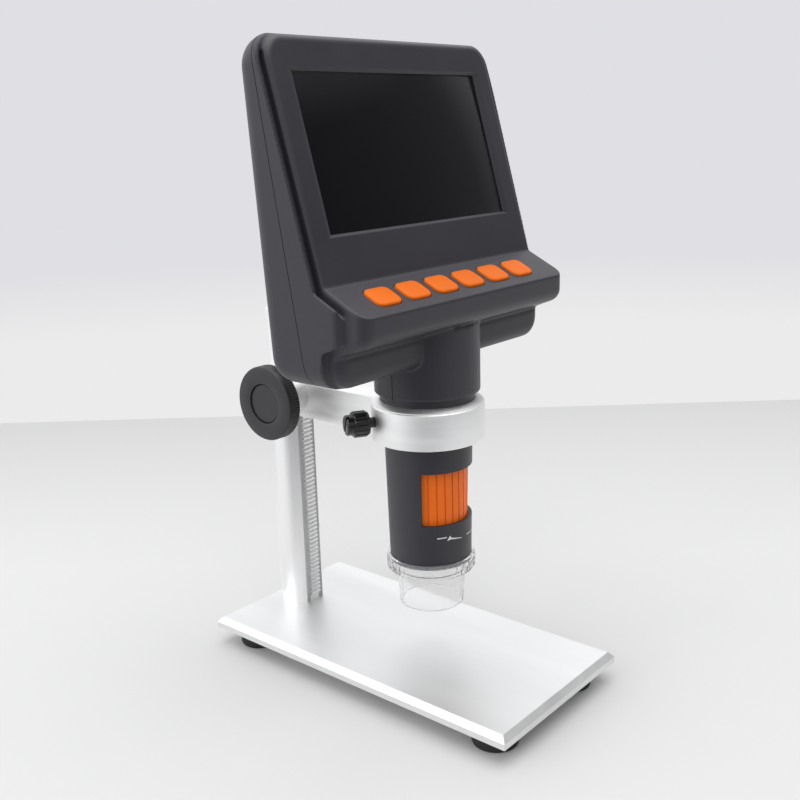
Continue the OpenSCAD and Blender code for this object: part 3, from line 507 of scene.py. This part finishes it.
def turned(profile, place=Matrix(), steps=96, closed=False):
    # radius and height pairs, spun round the local Z
    bm = bmesh.new()
    verts = [bm.verts.new((radius, 0, height)) for radius, height in profile]
    pairs = list(zip(verts, verts[1:])) + ([(verts[-1], verts[0])] if closed else [])
    edges = [bm.edges.new(pair) for pair in pairs]
    bmesh.ops.spin(bm, geom=verts + edges, cent=(0, 0, 0), axis=(0, 0, 1), angle=2 * pi, steps=steps,
                   use_merge=True)
    bmesh.ops.remove_doubles(bm, verts=bm.verts, dist=0.001 * mm)
    bmesh.ops.recalc_face_normals(bm, faces=bm.faces)
    bmesh.ops.transform(bm, matrix=place, verts=bm.verts)
    return bm


def slopedBlock(lowSize, highSize, low, high, place):
    # a block that widens evenly from its lower to its higher end
    bm = bmesh.new()
    for vert in bmesh.ops.create_cube(bm, size=1)["verts"]:
        width, length = highSize if vert.co.z > 0 else lowSize
        vert.co = (vert.co.x * width, vert.co.y * length, high if vert.co.z > 0 else low)
    bmesh.ops.transform(bm, matrix=place, verts=bm.verts)
    return bm


def roundedBlock(bm, width, length, corner, low, high, place):
    made = block(bm, width, length, low, high)
    upright = {edge for vert in made["verts"] for edge in vert.link_edges
               if abs(edge.verts[0].co.z - edge.verts[1].co.z) > (high - low) / 2}
    faces = {face for vert in made["verts"] for face in vert.link_faces}
    before = set(bm.faces) - faces
    roundOff(bm, list(upright), corner, 6)
    verts = {vert for face in set(bm.faces) - before for vert in face.verts}
    bmesh.ops.transform(bm, matrix=place, verts=list(verts))


# radius and height above the neck's lower end, in millimetres
neckBore = [(0, -1), (18.02, -1), (18.02, 2.6), (18.95, 2.6), (18.95, 5.6), (17.6, 5.6), (17.6, 21), (0, 21)]
screen = inMetres({
    "width": 98, "height": 54, "aside": -0.5, "lower": 0.4, "deep": 0.9, "slopeAcross": 4.2, "slopeUp": 2.2,
    "mouth": 5, "mouthHigh": 1.6, "lap": 0.02, "seat": 3.3, "seatDeep": 1.8, "through": 9,
    "play": 0.1, "into": 0.3, "edge": 0.12})
buttons = inMetres({
    "width": 12.2, "length": 9.8, "corner": 2.9, "down": 9.7, "gap": 0.3, "rise": 0.9, "edge": 0.8,
    "wellDeep": 6, "wellHigh": 3, "below": 0.5, "flange": 1, "flangeCorner": 2.4, "flangeDeep": 1,
    "flangeGap": 0.08, "stem": 1.6, "stemStart": 0.9, "stemEnd": 1.8})
buttonCrown = [(0.7, 0.09), (0.7, 0.06), (0.6, 0.03)]      # steps inward and upward, to the button's middle
shellScrews = inMetres({
    "topAcross": 48, "topUp": 34, "topSeat": 9.2, "lowAcross": 50, "lowUp": 8.5, "lowBehind": 5,
    "head": 2.3, "long": 60})
sockets = inMetres({"gap": 0.4, "long": 30})
onScreen = onFace @ Matrix.Translation((screen["aside"], -screen["lower"], 0))


def buttonPlace(name):
    low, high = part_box(name)
    return onShelf @ Matrix.Translation(((low.x + high.x) / 2, -buttons["down"], 0))


def lowScrewPlace(side):
    # local Z points away from the user
    z = blockLow + shellScrews["lowUp"]
    y = axisY + (z - blockLow) * tan(radians(housing["seamLean"])) + shellScrews["lowBehind"]
    return Matrix.Translation((side * shellScrews["lowAcross"], y, z)) @ Matrix.Rotation(-pi / 2, 4, "X")


def topScrewPlace(side):
    x, y = side * shellScrews["topAcross"], shellScrews["topUp"]
    return onFace @ Matrix.Translation((x, y, -shellScrews["topSeat"])) @ Matrix.Rotation(pi, 4, "X")


def onFaceBox(node):
    # a node's corners along the face's own directions
    spots = [onFace.inverted() @ vert.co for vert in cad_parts[node].data.vertices]
    low = Vector([min(spot[i] for spot in spots) for i in range(3)])
    high = Vector([max(spot[i] for spot in spots) for i in range(3)])
    return low, high


def buttonWells():
    wells = bmesh.new()
    gap = buttons["gap"]
    for name in buttonNames:
        roundedBlock(wells, buttons["width"] + 2 * gap, buttons["length"] + 2 * gap, buttons["corner"] + gap,
                     -buttons["wellDeep"], buttons["wellHigh"], buttonPlace(name))
    return wells


def screwHoles():
    holes = bmesh.new()
    for side in (-1, 1):
        for place in (topScrewPlace(side), lowScrewPlace(side)):
            post(holes, shellScrews["head"], 0, shellScrews["long"], place)
    return holes


def socketHoles():
    holes = bmesh.new()
    gap = sockets["gap"]
    for node in ("usb_socket", "card_socket"):
        low, high = onFaceBox(node)
        block(holes, sockets["long"], (high.y - low.y) + 2 * gap, low.z - gap, high.z + gap,
              onFace @ Matrix.Translation((headHalf, (low.y + high.y) / 2, 0)))
    return holes


def housingHalves():
    form = housingForm()
    stage("housing form has %d faces" % len(form.polygons))
    bore = turned([(r * mm, neckBottom + z * mm) for r, z in neckBore], Matrix.Translation((0, axisY, 0)))
    for tool in (plateau(shell["wall"], shell["hollowDeep"]),
                 flangedBody(shell["wall"], shell["hollowStep"]), bore):
        form = cut(form, tool)
    front = cut(form, seamTool(0), "INTERSECT")
    rear = cut(form, seamTool(shell["seamGap"]))
    size = (screen["width"], screen["height"])
    wide = (size[0] + screen["slopeAcross"], size[1] + screen["slopeUp"])
    mouth = tuple(side + screen["mouth"] for side in wide)
    seat = tuple(side + 2 * screen["seat"] for side in size)
    for tool in (slopedBlock(size, wide, -screen["deep"], screen["lap"], onScreen),
                 slopedBlock(wide, mouth, 0, screen["mouthHigh"], onScreen),
                 slopedBlock(size, size, -screen["through"], 0, onScreen),
                 slopedBlock(seat, seat, -screen["through"], -screen["seatDeep"], onScreen),
                 buttonWells()):
        front = cut(front, tool)
    for tool in (screwHoles(), socketHoles()):
        rear = cut(rear, tool)
    return front, rear


frontHalf, rearHalf = housingHalves()
stage("front half %d, rear half %d faces" % (len(frontHalf.polygons), len(rearHalf.polygons)))
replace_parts(finished(frontHalf, "frontHousing", "microscope", housingBlack), "front_shell")
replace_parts(finished(rearHalf, "rearHousing", "microscope", housingBlack), "rear_shell")


def screenCoverPiece():
    # a sheet held behind the opening, with a raised middle that fills it
    low, high = onFaceBox("screen_window")
    bm = bmesh.new()
    block(bm, high.x - low.x, high.y - low.y, low.z, high.z,
          onFace @ Matrix.Translation(((low.x + high.x) / 2, (low.y + high.y) / 2, 0)))
    raised = bmesh.new()
    size = [screen[key] - 2 * screen["play"] for key in ("width", "height")]
    block(raised, *size, low.z + screen["into"], -screen["deep"], onScreen)
    sheet = worked(joinedWith(bm, raised), ("BEVEL", {"width": screen["edge"], "segments": 2}))
    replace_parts(finished(sheet, "screenCover", "microscope", screenCover), "screen_window")


screenCoverPiece()
stage("screen cover")


def pillowButton(name):
    # a soft cap above the shelf, with a flange and a stem inside the shell
    bm = bmesh.new()
    width, length, rise, flange = (buttons[key] for key in ("width", "length", "rise", "flange"))
    inside = -shell["wall"]
    roundedBlock(bm, width, length, buttons["corner"], inside - buttons["below"], rise, Matrix())
    rim = [edge for edge in bm.edges if all(vert.co.z > rise - same for vert in edge.verts)]
    roundOff(bm, rim, buttons["edge"], 4)
    top = max(bm.faces, key=lambda face: face.calc_center_median().z)
    for inward, higher in buttonCrown:
        bmesh.ops.inset_region(bm, faces=[top], thickness=inward * mm, depth=higher * mm,
                               use_even_offset=True)
    roundedBlock(bm, width + 2 * flange, length + 2 * flange, buttons["flangeCorner"],
                 inside - buttons["flangeDeep"], inside - buttons["flangeGap"], Matrix())
    post(bm, buttons["stem"], inside - buttons["stemEnd"], inside - buttons["stemStart"])
    bmesh.ops.transform(bm, matrix=buttonPlace(name), verts=bm.verts)
    piece = finished(meshOf(bm, name), name + "Cap", name + "_body", buttonOrange)
    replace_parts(piece, name)


for name in buttonNames:
    pillowButton(name)
stage("six buttons")


def aroundAxis(count, turn=0):
    # even turns round the local Z
    return [Matrix.Rotation(radians(turn) + 2 * pi * i / count, 4, "Z") for i in range(count)]


def crisp(mesh, width):
    # a narrow rounding on every sharp edge, so that it catches the light
    return worked(mesh, ("BEVEL", {"width": width, "segments": 2, "limit_method": "ANGLE",
                                   "angle_limit": radians(35), "use_clamp_overlap": True}))


runPast = 1 * mm      # how far a cutter goes past what it cuts
heightKnob = {
    "ribs": 84,                                                # a count, the rest in millimetres
    "bevel": 0.7, "bevelIn": 0.245, "bevelDown": 0.21, "backIn": 0.8, "backDown": 0.7, "thick": 6,
    "rimStart": 1.4, "rimEnd": 5.4, "ribWide": 0.5, "ribOut": 0.04, "hub": 4.2, "bore": 3.02,
    "socket": 8.15, "socketDeep": 1.45, "capRise": 0.55, "capEdge": 0.2, "edge": 0.06}


def knobPieces():
    low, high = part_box("height_knob")
    place = (Matrix.Translation((low.x, (low.y + high.y) / 2, (low.z + high.z) / 2))
             @ Matrix.Rotation(pi / 2, 4, "Y"))
    knob = inMetres(heightKnob)
    radius, length = (high.z - low.z) / 2, high.x - low.x
    profile = [(knob["bore"], length), (knob["hub"], length), (knob["hub"], knob["thick"]),
               (radius - knob["backIn"], knob["thick"]), (radius, knob["thick"] - knob["backDown"]),
               (radius, knob["bevel"]), (radius - knob["bevelIn"], knob["bevelDown"]),
               (radius - knob["bevel"], 0), (knob["socket"], 0), (knob["socket"], knob["socketDeep"]),
               (knob["bore"], knob["socketDeep"])]
    body = meshOf(turned(profile, steps=120, closed=True), "knob")
    ribs = bmesh.new()
    for turn in aroundAxis(heightKnob["ribs"]):
        block(ribs, knob["ribWide"], knob["ribWide"], knob["rimStart"], knob["rimEnd"],
              turn @ Matrix.Translation((radius + knob["ribOut"], 0, 0)) @ Matrix.Rotation(pi / 4, 4, "Z"))
    body = crisp(cut(body, ribs), knob["edge"])
    body.transform(place)
    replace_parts(finished(body, "heightKnob", "height_drive", knobBlack), "height_knob")
    capLow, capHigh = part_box("knob_cap")
    capRadius = (capHigh.z - capLow.z) / 2
    face, edge = knob["capRise"], knob["capEdge"]
    cap = [(0, knob["socketDeep"]), (capRadius, knob["socketDeep"]), (capRadius, face + edge),
           (capRadius - edge, face), (0, face)]
    cap = meshOf(turned(cap, place, 96), "cap")
    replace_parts(finished(cap, "knobCap", "height_drive", knobBlack), "knob_cap")


knobPieces()

clampScrew = {
    "turn": 150, "slotTurn": 62, "flutes": 14,                 # degrees and a count, the rest in millimetres
    "shank": 2, "start": 18.05, "collar": 24.25, "collarRadius": 4.4, "wheel": 24.75, "wheelEnd": 30.2,
    "wheelRadius": 4.95, "end": 32.85, "endRadius": 3.9, "rounding": 0.45, "fluteRadius": 0.62,
    "fluteOut": 0.12, "flutePast": 0.01, "slotWide": 1.2, "slotDeep": 1.1, "slotLong": 20, "edge": 0.08}


def clampScrewPiece():
    low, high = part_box("thumb_screw")
    screw = inMetres(clampScrew)
    place = (Matrix.Translation((0, axisY, (low.z + high.z) / 2))
             @ Matrix.Rotation(radians(clampScrew["turn"]), 4, "Z") @ Matrix.Rotation(pi / 2, 4, "Y"))
    outer, tip, rounding = screw["wheelRadius"], screw["endRadius"], screw["rounding"]
    profile = [(0, screw["start"]), (screw["shank"], screw["start"]), (screw["shank"], screw["collar"]),
               (screw["collarRadius"], screw["collar"]), (screw["collarRadius"], screw["wheel"]),
               (outer - rounding, screw["wheel"]), (outer, screw["wheel"] + rounding),
               (outer, screw["wheelEnd"] - rounding), (outer - rounding, screw["wheelEnd"]),
               (tip, screw["wheelEnd"]), (tip, screw["end"] - rounding), (tip - rounding, screw["end"]),
               (0, screw["end"])]
    body = meshOf(turned(profile, steps=112), "screw")
    cutters = bmesh.new()
    for turn in aroundAxis(clampScrew["flutes"]):
        post(cutters, screw["fluteRadius"], screw["wheel"] - runPast, screw["wheelEnd"] + screw["flutePast"],
             turn @ Matrix.Translation((outer + screw["fluteOut"], 0, 0)))
    block(cutters, screw["slotWide"], screw["slotLong"], screw["end"] - screw["slotDeep"],
          screw["end"] + runPast, Matrix.Rotation(radians(clampScrew["slotTurn"]), 4, "Z"))
    body = crisp(cut(body, cutters), screw["edge"])
    body.transform(place)
    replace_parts(finished(body, "clampScrew", "clamp_screw", screwBlack), "thumb_screw")


clampScrewPiece()

holderRing = {"bore": 18.02, "outer": 21.3, "flatFrom": 18.4, "crown": 1.2, "rootHigh": 0.1, "below": 1,
              "belowNeck": 4.2, "weld": 0.0001, "edge": 0.15}
shaftBoss = {"outer": 6.9, "bore": 4.6, "recess": 6.3, "deep": 1.8, "short": 0.6, "into": 0.3}


def holderPiece():
    # the frame's arm, its ring's upper edge raised towards the bore, and a boss round the knob's hub
    ring, boss = inMetres(holderRing), inMetres(shaftBoss)
    top = neckBottom - ring["belowNeck"]
    root = top - ring["below"]
    section = [(ring["bore"], root), (ring["outer"], root), (ring["outer"], top + ring["rootHigh"]),
               (ring["flatFrom"], top + ring["crown"]), (ring["bore"], top + ring["crown"])]
    crown = turned(section, Matrix.Translation((0, axisY, 0)), closed=True)
    bm = bmesh.new()
    bm.from_mesh(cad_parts["holder_arm"].data)
    bmesh.ops.remove_doubles(bm, verts=bm.verts, dist=ring["weld"])
    bm.from_mesh(meshOf(crown, "crown"))
    shaftLow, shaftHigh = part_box("pinion_shaft")
    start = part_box("shaft_bushing")[0].x - boss["into"] + boss["deep"]
    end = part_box("height_knob")[0].x + heightKnob["thick"] * mm + boss["short"]
    section = [(boss["recess"], 0), (boss["outer"], 0), (boss["outer"], start - end),
               (boss["bore"], start - end), (boss["bore"], boss["deep"]), (boss["recess"], boss["deep"])]
    place = (Matrix.Translation((start, (shaftLow.y + shaftHigh.y) / 2, (shaftLow.z + shaftHigh.z) / 2))
             @ Matrix.Rotation(-pi / 2, 4, "Y"))
    bm.from_mesh(meshOf(turned(section, place, 72, closed=True), "boss"))
    body = crisp(meshOf(bm, "arm"), ring["edge"])
    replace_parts(finished(body, "holderArm", "holder", ringSatin), "holder_arm")


holderPiece()

focusRing = {
    "grooves": 28, "turn": 203.6,                              # a count and degrees, the rest in millimetres
    "wide": 0.55, "deep": 0.5, "rounding": 0.5, "bore": 12, "edge": 0.12}


def focusRingPiece():
    low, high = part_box("focus_wheel")
    wheel = inMetres(focusRing)
    radius, rounding = (high.x - low.x) / 2, wheel["rounding"]
    profile = [(wheel["bore"], low.z), (radius - rounding, low.z), (radius, low.z + rounding),
               (radius, high.z - rounding), (radius - rounding, high.z), (wheel["bore"], high.z)]
    body = meshOf(turned(profile, steps=168, closed=True), "wheel")
    cutters = bmesh.new()
    for turn in aroundAxis(focusRing["grooves"], focusRing["turn"]):
        block(cutters, 2 * wheel["deep"], wheel["wide"], low.z - runPast, high.z + runPast,
              turn @ Matrix.Translation((radius, 0, 0)))
    body = crisp(cut(body, cutters), wheel["edge"])
    body.transform(Matrix.Translation((0, axisY, 0)))
    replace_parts(finished(body, "focusRing", "wheel", wheelOrange), "focus_wheel")


focusRingPiece()
stage("knob, clamp screw, holder arm and focus ring")

barrelTaper = inMetres({"endRadius": 16, "topRadius": 16.85, "straight": 3, "long": 46.2})
# the plain printed strokes below the window, from left to right: degrees, then the lower and upper edge
# in millimetres above the barrel's end
strokes = {"lift": 0.035, "deep": 0.03, "stepDegrees": 2, "shapes": [
    [(227.6, 12.75, 13.15), (241.2, 12.85, 13.25)],
    [(242.0, 11.55, 11.75), (246.2, 12.0, 13.55), (248.0, 11.95, 12.6), (266.0, 11.2, 11.4)],
    [(277.5, 11.45, 11.75), (306.0, 10.8, 11.1)]]}


def barrelAt(z):
    # the barrel's radius at a height: straight at its end, then an even taper
    share = max(0, min(1, (z - barrelLow.z - barrelTaper["straight"]) / barrelTaper["long"]))
    return barrelTaper["endRadius"] + (barrelTaper["topRadius"] - barrelTaper["endRadius"]) * share


def printedStrokes():
    bm = bmesh.new()
    for shape in strokes["shapes"]:
        steps = []
        for first, second in zip(shape, shape[1:]):
            count = max(1, round((second[0] - first[0]) / strokes["stepDegrees"]))
            steps += [[a + (b - a) * i / count for a, b in zip(first, second)] for i in range(count)]
        columns = []
        for angle, lower, upper in steps + [shape[-1]]:
            spots = []
            for rise in (lower, upper):
                z = barrelLow.z + rise * mm
                radius = barrelAt(z) + strokes["lift"] * mm
                x, y = radius * cos(radians(angle)), axisY + radius * sin(radians(angle))
                spots.append(bm.verts.new((x, y, z)))
            columns.append(spots)
        for (a, b), (c, d) in zip(columns, columns[1:]):
            bm.faces.new((a, c, d, b))
    for vert in extruded(bm, bm.faces[:]):
        flat = Vector((vert.co.x, vert.co.y - axisY, 0)).normalized()
        vert.co -= flat * strokes["deep"] * mm
    bmesh.ops.recalc_face_normals(bm, faces=bm.faces)
    finished(meshOf(bm, "strokes"), "focusStrokes", "microscope", printWhite)


printedStrokes()
stage("printed strokes")


# lengths in metres, darkTurn in degrees, colours linear
room = {
    "floorSize": 6.0, "floorEnds": 0.385, "floorStarts": -0.17, "floorTone": (0.685, 0.685, 0.68),
    "floorDrift": 0.995, "floorGrain": 40, "floorRough": 0.7, "floorShine": 0.2,
    # painted shade on the floor: its colour darkens over its far part to a share of its tone
    "fadeSide": (0.5, 1.1), "fadeNear": -0.11, "farShadeStart": 0.1, "farShadeShare": 0.84,
    "bandTone": (0.83, 0.83, 0.83), "skyTone": (0.745, 0.745, 0.775), "bandTop": -0.153, "bandSoft": 0.03,
    "bright": (0.84, 0.86, 0.89), "dim": (0.25, 0.25, 0.26), "overhead": (1.08, 1.08, 1.09),
    "glow": (1.5, 1.5, 1.54), "lit": 0.76, "darkTurn": 6}
# where each part of the room fades in or out, as cosines of the angle to its direction
zones = {
    "userSide": (0.6, 0.9), "userTop": (0.1, 0.35), "userLow": (-0.6, -0.4),
    "farSide": (0.4, 0.65), "farAhead": (0.5, 0.8), "farTop": (0.5, 0.7), "farLow": (-0.12, 0),
    "windowSide": (-0.75, -0.45), "windowLow": (0.05, 0.25), "overheadLow": (0.3, 0.7)}
# millimetres and degrees, the clip distances in metres
view = {
    "place": (-292.02, -251.10, 214.71), "turn": 49.31, "down": 14.94, "roll": -1.71, "lens": 46.206,
    "sensor": 36, "clip": (0.01, 20)}
lamps = {
    "overhead": {"place": (-0.03, -0.13, 1.25), "aim": (0, 0, 0.1), "size": (1.4, 1.4), "power": 10},
    "leftBank": {"place": (-1.3, 0.45, 0.75), "aim": (0, 0, 0.15), "size": (1.0, 0.9), "power": 3}}
viewAhead = Vector((sin(radians(view["turn"])), cos(radians(view["turn"])), 0))
viewRight = Vector((viewAhead.y, -viewAhead.x, 0))


def floorPlane():
    # a table that ends behind the stand, square to the view, and fades out at its sides and near edge; its
    # colour carries painted shade that darkens it towards the far edge
    bm = bmesh.new()
    reach = room["floorSize"] / 2
    corners = bmesh.ops.create_grid(bm, x_segments=1, y_segments=1, size=reach)["verts"]
    for vert in corners:
        ahead = max(min(vert.co.y, room["floorEnds"]), room["floorStarts"])
        vert.co = vert.co.x * viewRight + ahead * viewAhead
    mesh = meshOf(bm, "floor")
    floor = bpy.data.objects.new("floor", mesh)
    bpy.context.scene.collection.objects.link(floor)
    made, nodes, links, shader = newMaterial("floorPaper")
    grain = objectPattern(nodes, links, "ShaderNodeTexNoise", room["floorGrain"], Detail=2).outputs["Fac"]
    tone = Vector(room["floorTone"])
    paper = colourBlend(nodes, links, ramp(nodes, links, grain, 0, 1), tone * room["floorDrift"], tone)
    spots = nodes.new("ShaderNodeTexCoord").outputs["Object"]
    depth = along(nodes, links, spots, viewAhead)
    # painted shade: the floor's colour darkens towards its far edge, in place of light falling off away from
    # the lamps
    far = ramp(nodes, links, depth, 0, 1, room["farShadeStart"], room["floorEnds"])
    links.new(colourBlend(nodes, links, far, paper, tone * room["farShadeShare"]), shader.inputs["Base Color"])
    shader.inputs["Roughness"].default_value = room["floorRough"]
    shader.inputs["Specular IOR Level"].default_value = room["floorShine"]
    aside = mathNode(nodes, links, "ABSOLUTE", along(nodes, links, spots, viewRight))
    inside = ramp(nodes, links, aside, 1, 0, *room["fadeSide"])
    beyond = ramp(nodes, links, depth, 0, 1, room["floorStarts"], room["fadeNear"])
    links.new(mathNode(nodes, links, "MULTIPLY", inside, beyond), shader.inputs["Alpha"])
    mesh.materials.append(made)


def softBox(name, place, aim, size, power):
    light = bpy.data.lights.new(name, "AREA")
    light.shape = "RECTANGLE"
    light.size, light.size_y = size
    light.energy = power
    lamp = bpy.data.objects.new(name, light)
    bpy.context.scene.collection.objects.link(lamp)
    lamp.location = place
    lamp.rotation_euler = (Vector(aim) - Vector(place)).to_track_quat("-Z", "Y").to_euler()


def studioWorld():
    # what the camera sees behind the table, what shines on the gloss, and the plain light all round
    world = bpy.data.worlds.new("studio")
    world.use_nodes = True
    bpy.context.scene.world = world
    nodes, links = world.node_tree.nodes, world.node_tree.links
    direction = nodes.new("ShaderNodeTexCoord").outputs["Generated"]

    def rising(source, limits):
        return ramp(nodes, links, source, 0, 1, *limits)

    def falling(source, limits):
        return ramp(nodes, links, source, 1, 0, *limits)

    def product(first, *others):
        for other in others:
            first = mathNode(nodes, links, "MULTIPLY", first, other)
        return first

    def blend(factor, first, second):
        return colourBlend(nodes, links, factor, first, second)

    turn = radians(room["darkTurn"])
    towardsUser = -cos(turn) * viewAhead - sin(turn) * viewRight
    height, side, ahead, user = (along(nodes, links, direction, vector)
                                 for vector in ((0, 0, 1), viewRight, viewAhead, towardsUser))
    horizon = (room["bandTop"] - room["bandSoft"], room["bandTop"] + room["bandSoft"])
    seen = blend(rising(height, horizon), room["bandTone"], room["skyTone"])
    userSide = product(rising(user, zones["userSide"]), falling(height, zones["userTop"]),
                       rising(height, zones["userLow"]))
    farSide = product(rising(side, zones["farSide"]), falling(ahead, zones["farAhead"]),
                      falling(height, zones["farTop"]), rising(height, zones["farLow"]))
    nearWindow = product(falling(side, zones["windowSide"]), rising(height, zones["windowLow"]))
    shine = blend(rising(height, zones["overheadLow"]), room["bright"], room["overhead"])
    for zone, tone in ((nearWindow, "glow"), (farSide, "dim"), (userSide, "dim")):
        shine = blend(zone, shine, room[tone])
    path = nodes.new("ShaderNodeLightPath")
    reflected = blend(path.outputs["Is Transmission Ray"], shine, seen)
    colour = blend(path.outputs["Is Camera Ray"], reflected, seen)
    links.new(colour, nodes["Background"].inputs["Color"])
    direct = ramp(nodes, links, path.outputs["Is Diffuse Ray"], 1, room["lit"], 0, 1)
    links.new(direct, nodes["Background"].inputs["Strength"])


def cameraAtTheStand():
    turn, down, roll = (radians(view[key]) for key in ("turn", "down", "roll"))
    ahead = Vector((sin(turn) * cos(down), cos(turn) * cos(down), -sin(down)))
    right = Vector((cos(turn), -sin(turn), 0))
    above = right.cross(ahead)
    rightRolled = cos(roll) * right + sin(roll) * above
    aboveRolled = cos(roll) * above - sin(roll) * right
    camera = bpy.data.objects.new("camera", bpy.data.cameras.new("camera"))
    bpy.context.scene.collection.objects.link(camera)
    camera.data.lens = view["lens"]
    camera.data.sensor_width = view["sensor"]
    camera.data.clip_start, camera.data.clip_end = view["clip"]
    aimed = Matrix((rightRolled, aboveRolled, -ahead)).transposed().to_4x4()
    camera.matrix_world = Matrix.Translation(Vector(view["place"]) * mm) @ aimed
    bpy.context.scene.camera = camera


floorPlane()
studioWorld()
for name, lamp in lamps.items():
    softBox(name, **lamp)
cameraAtTheStand()
bpy.context.scene.view_settings.view_transform = "Standard"
stage("room, light and camera are set")

bpy.context.view_layer.update()
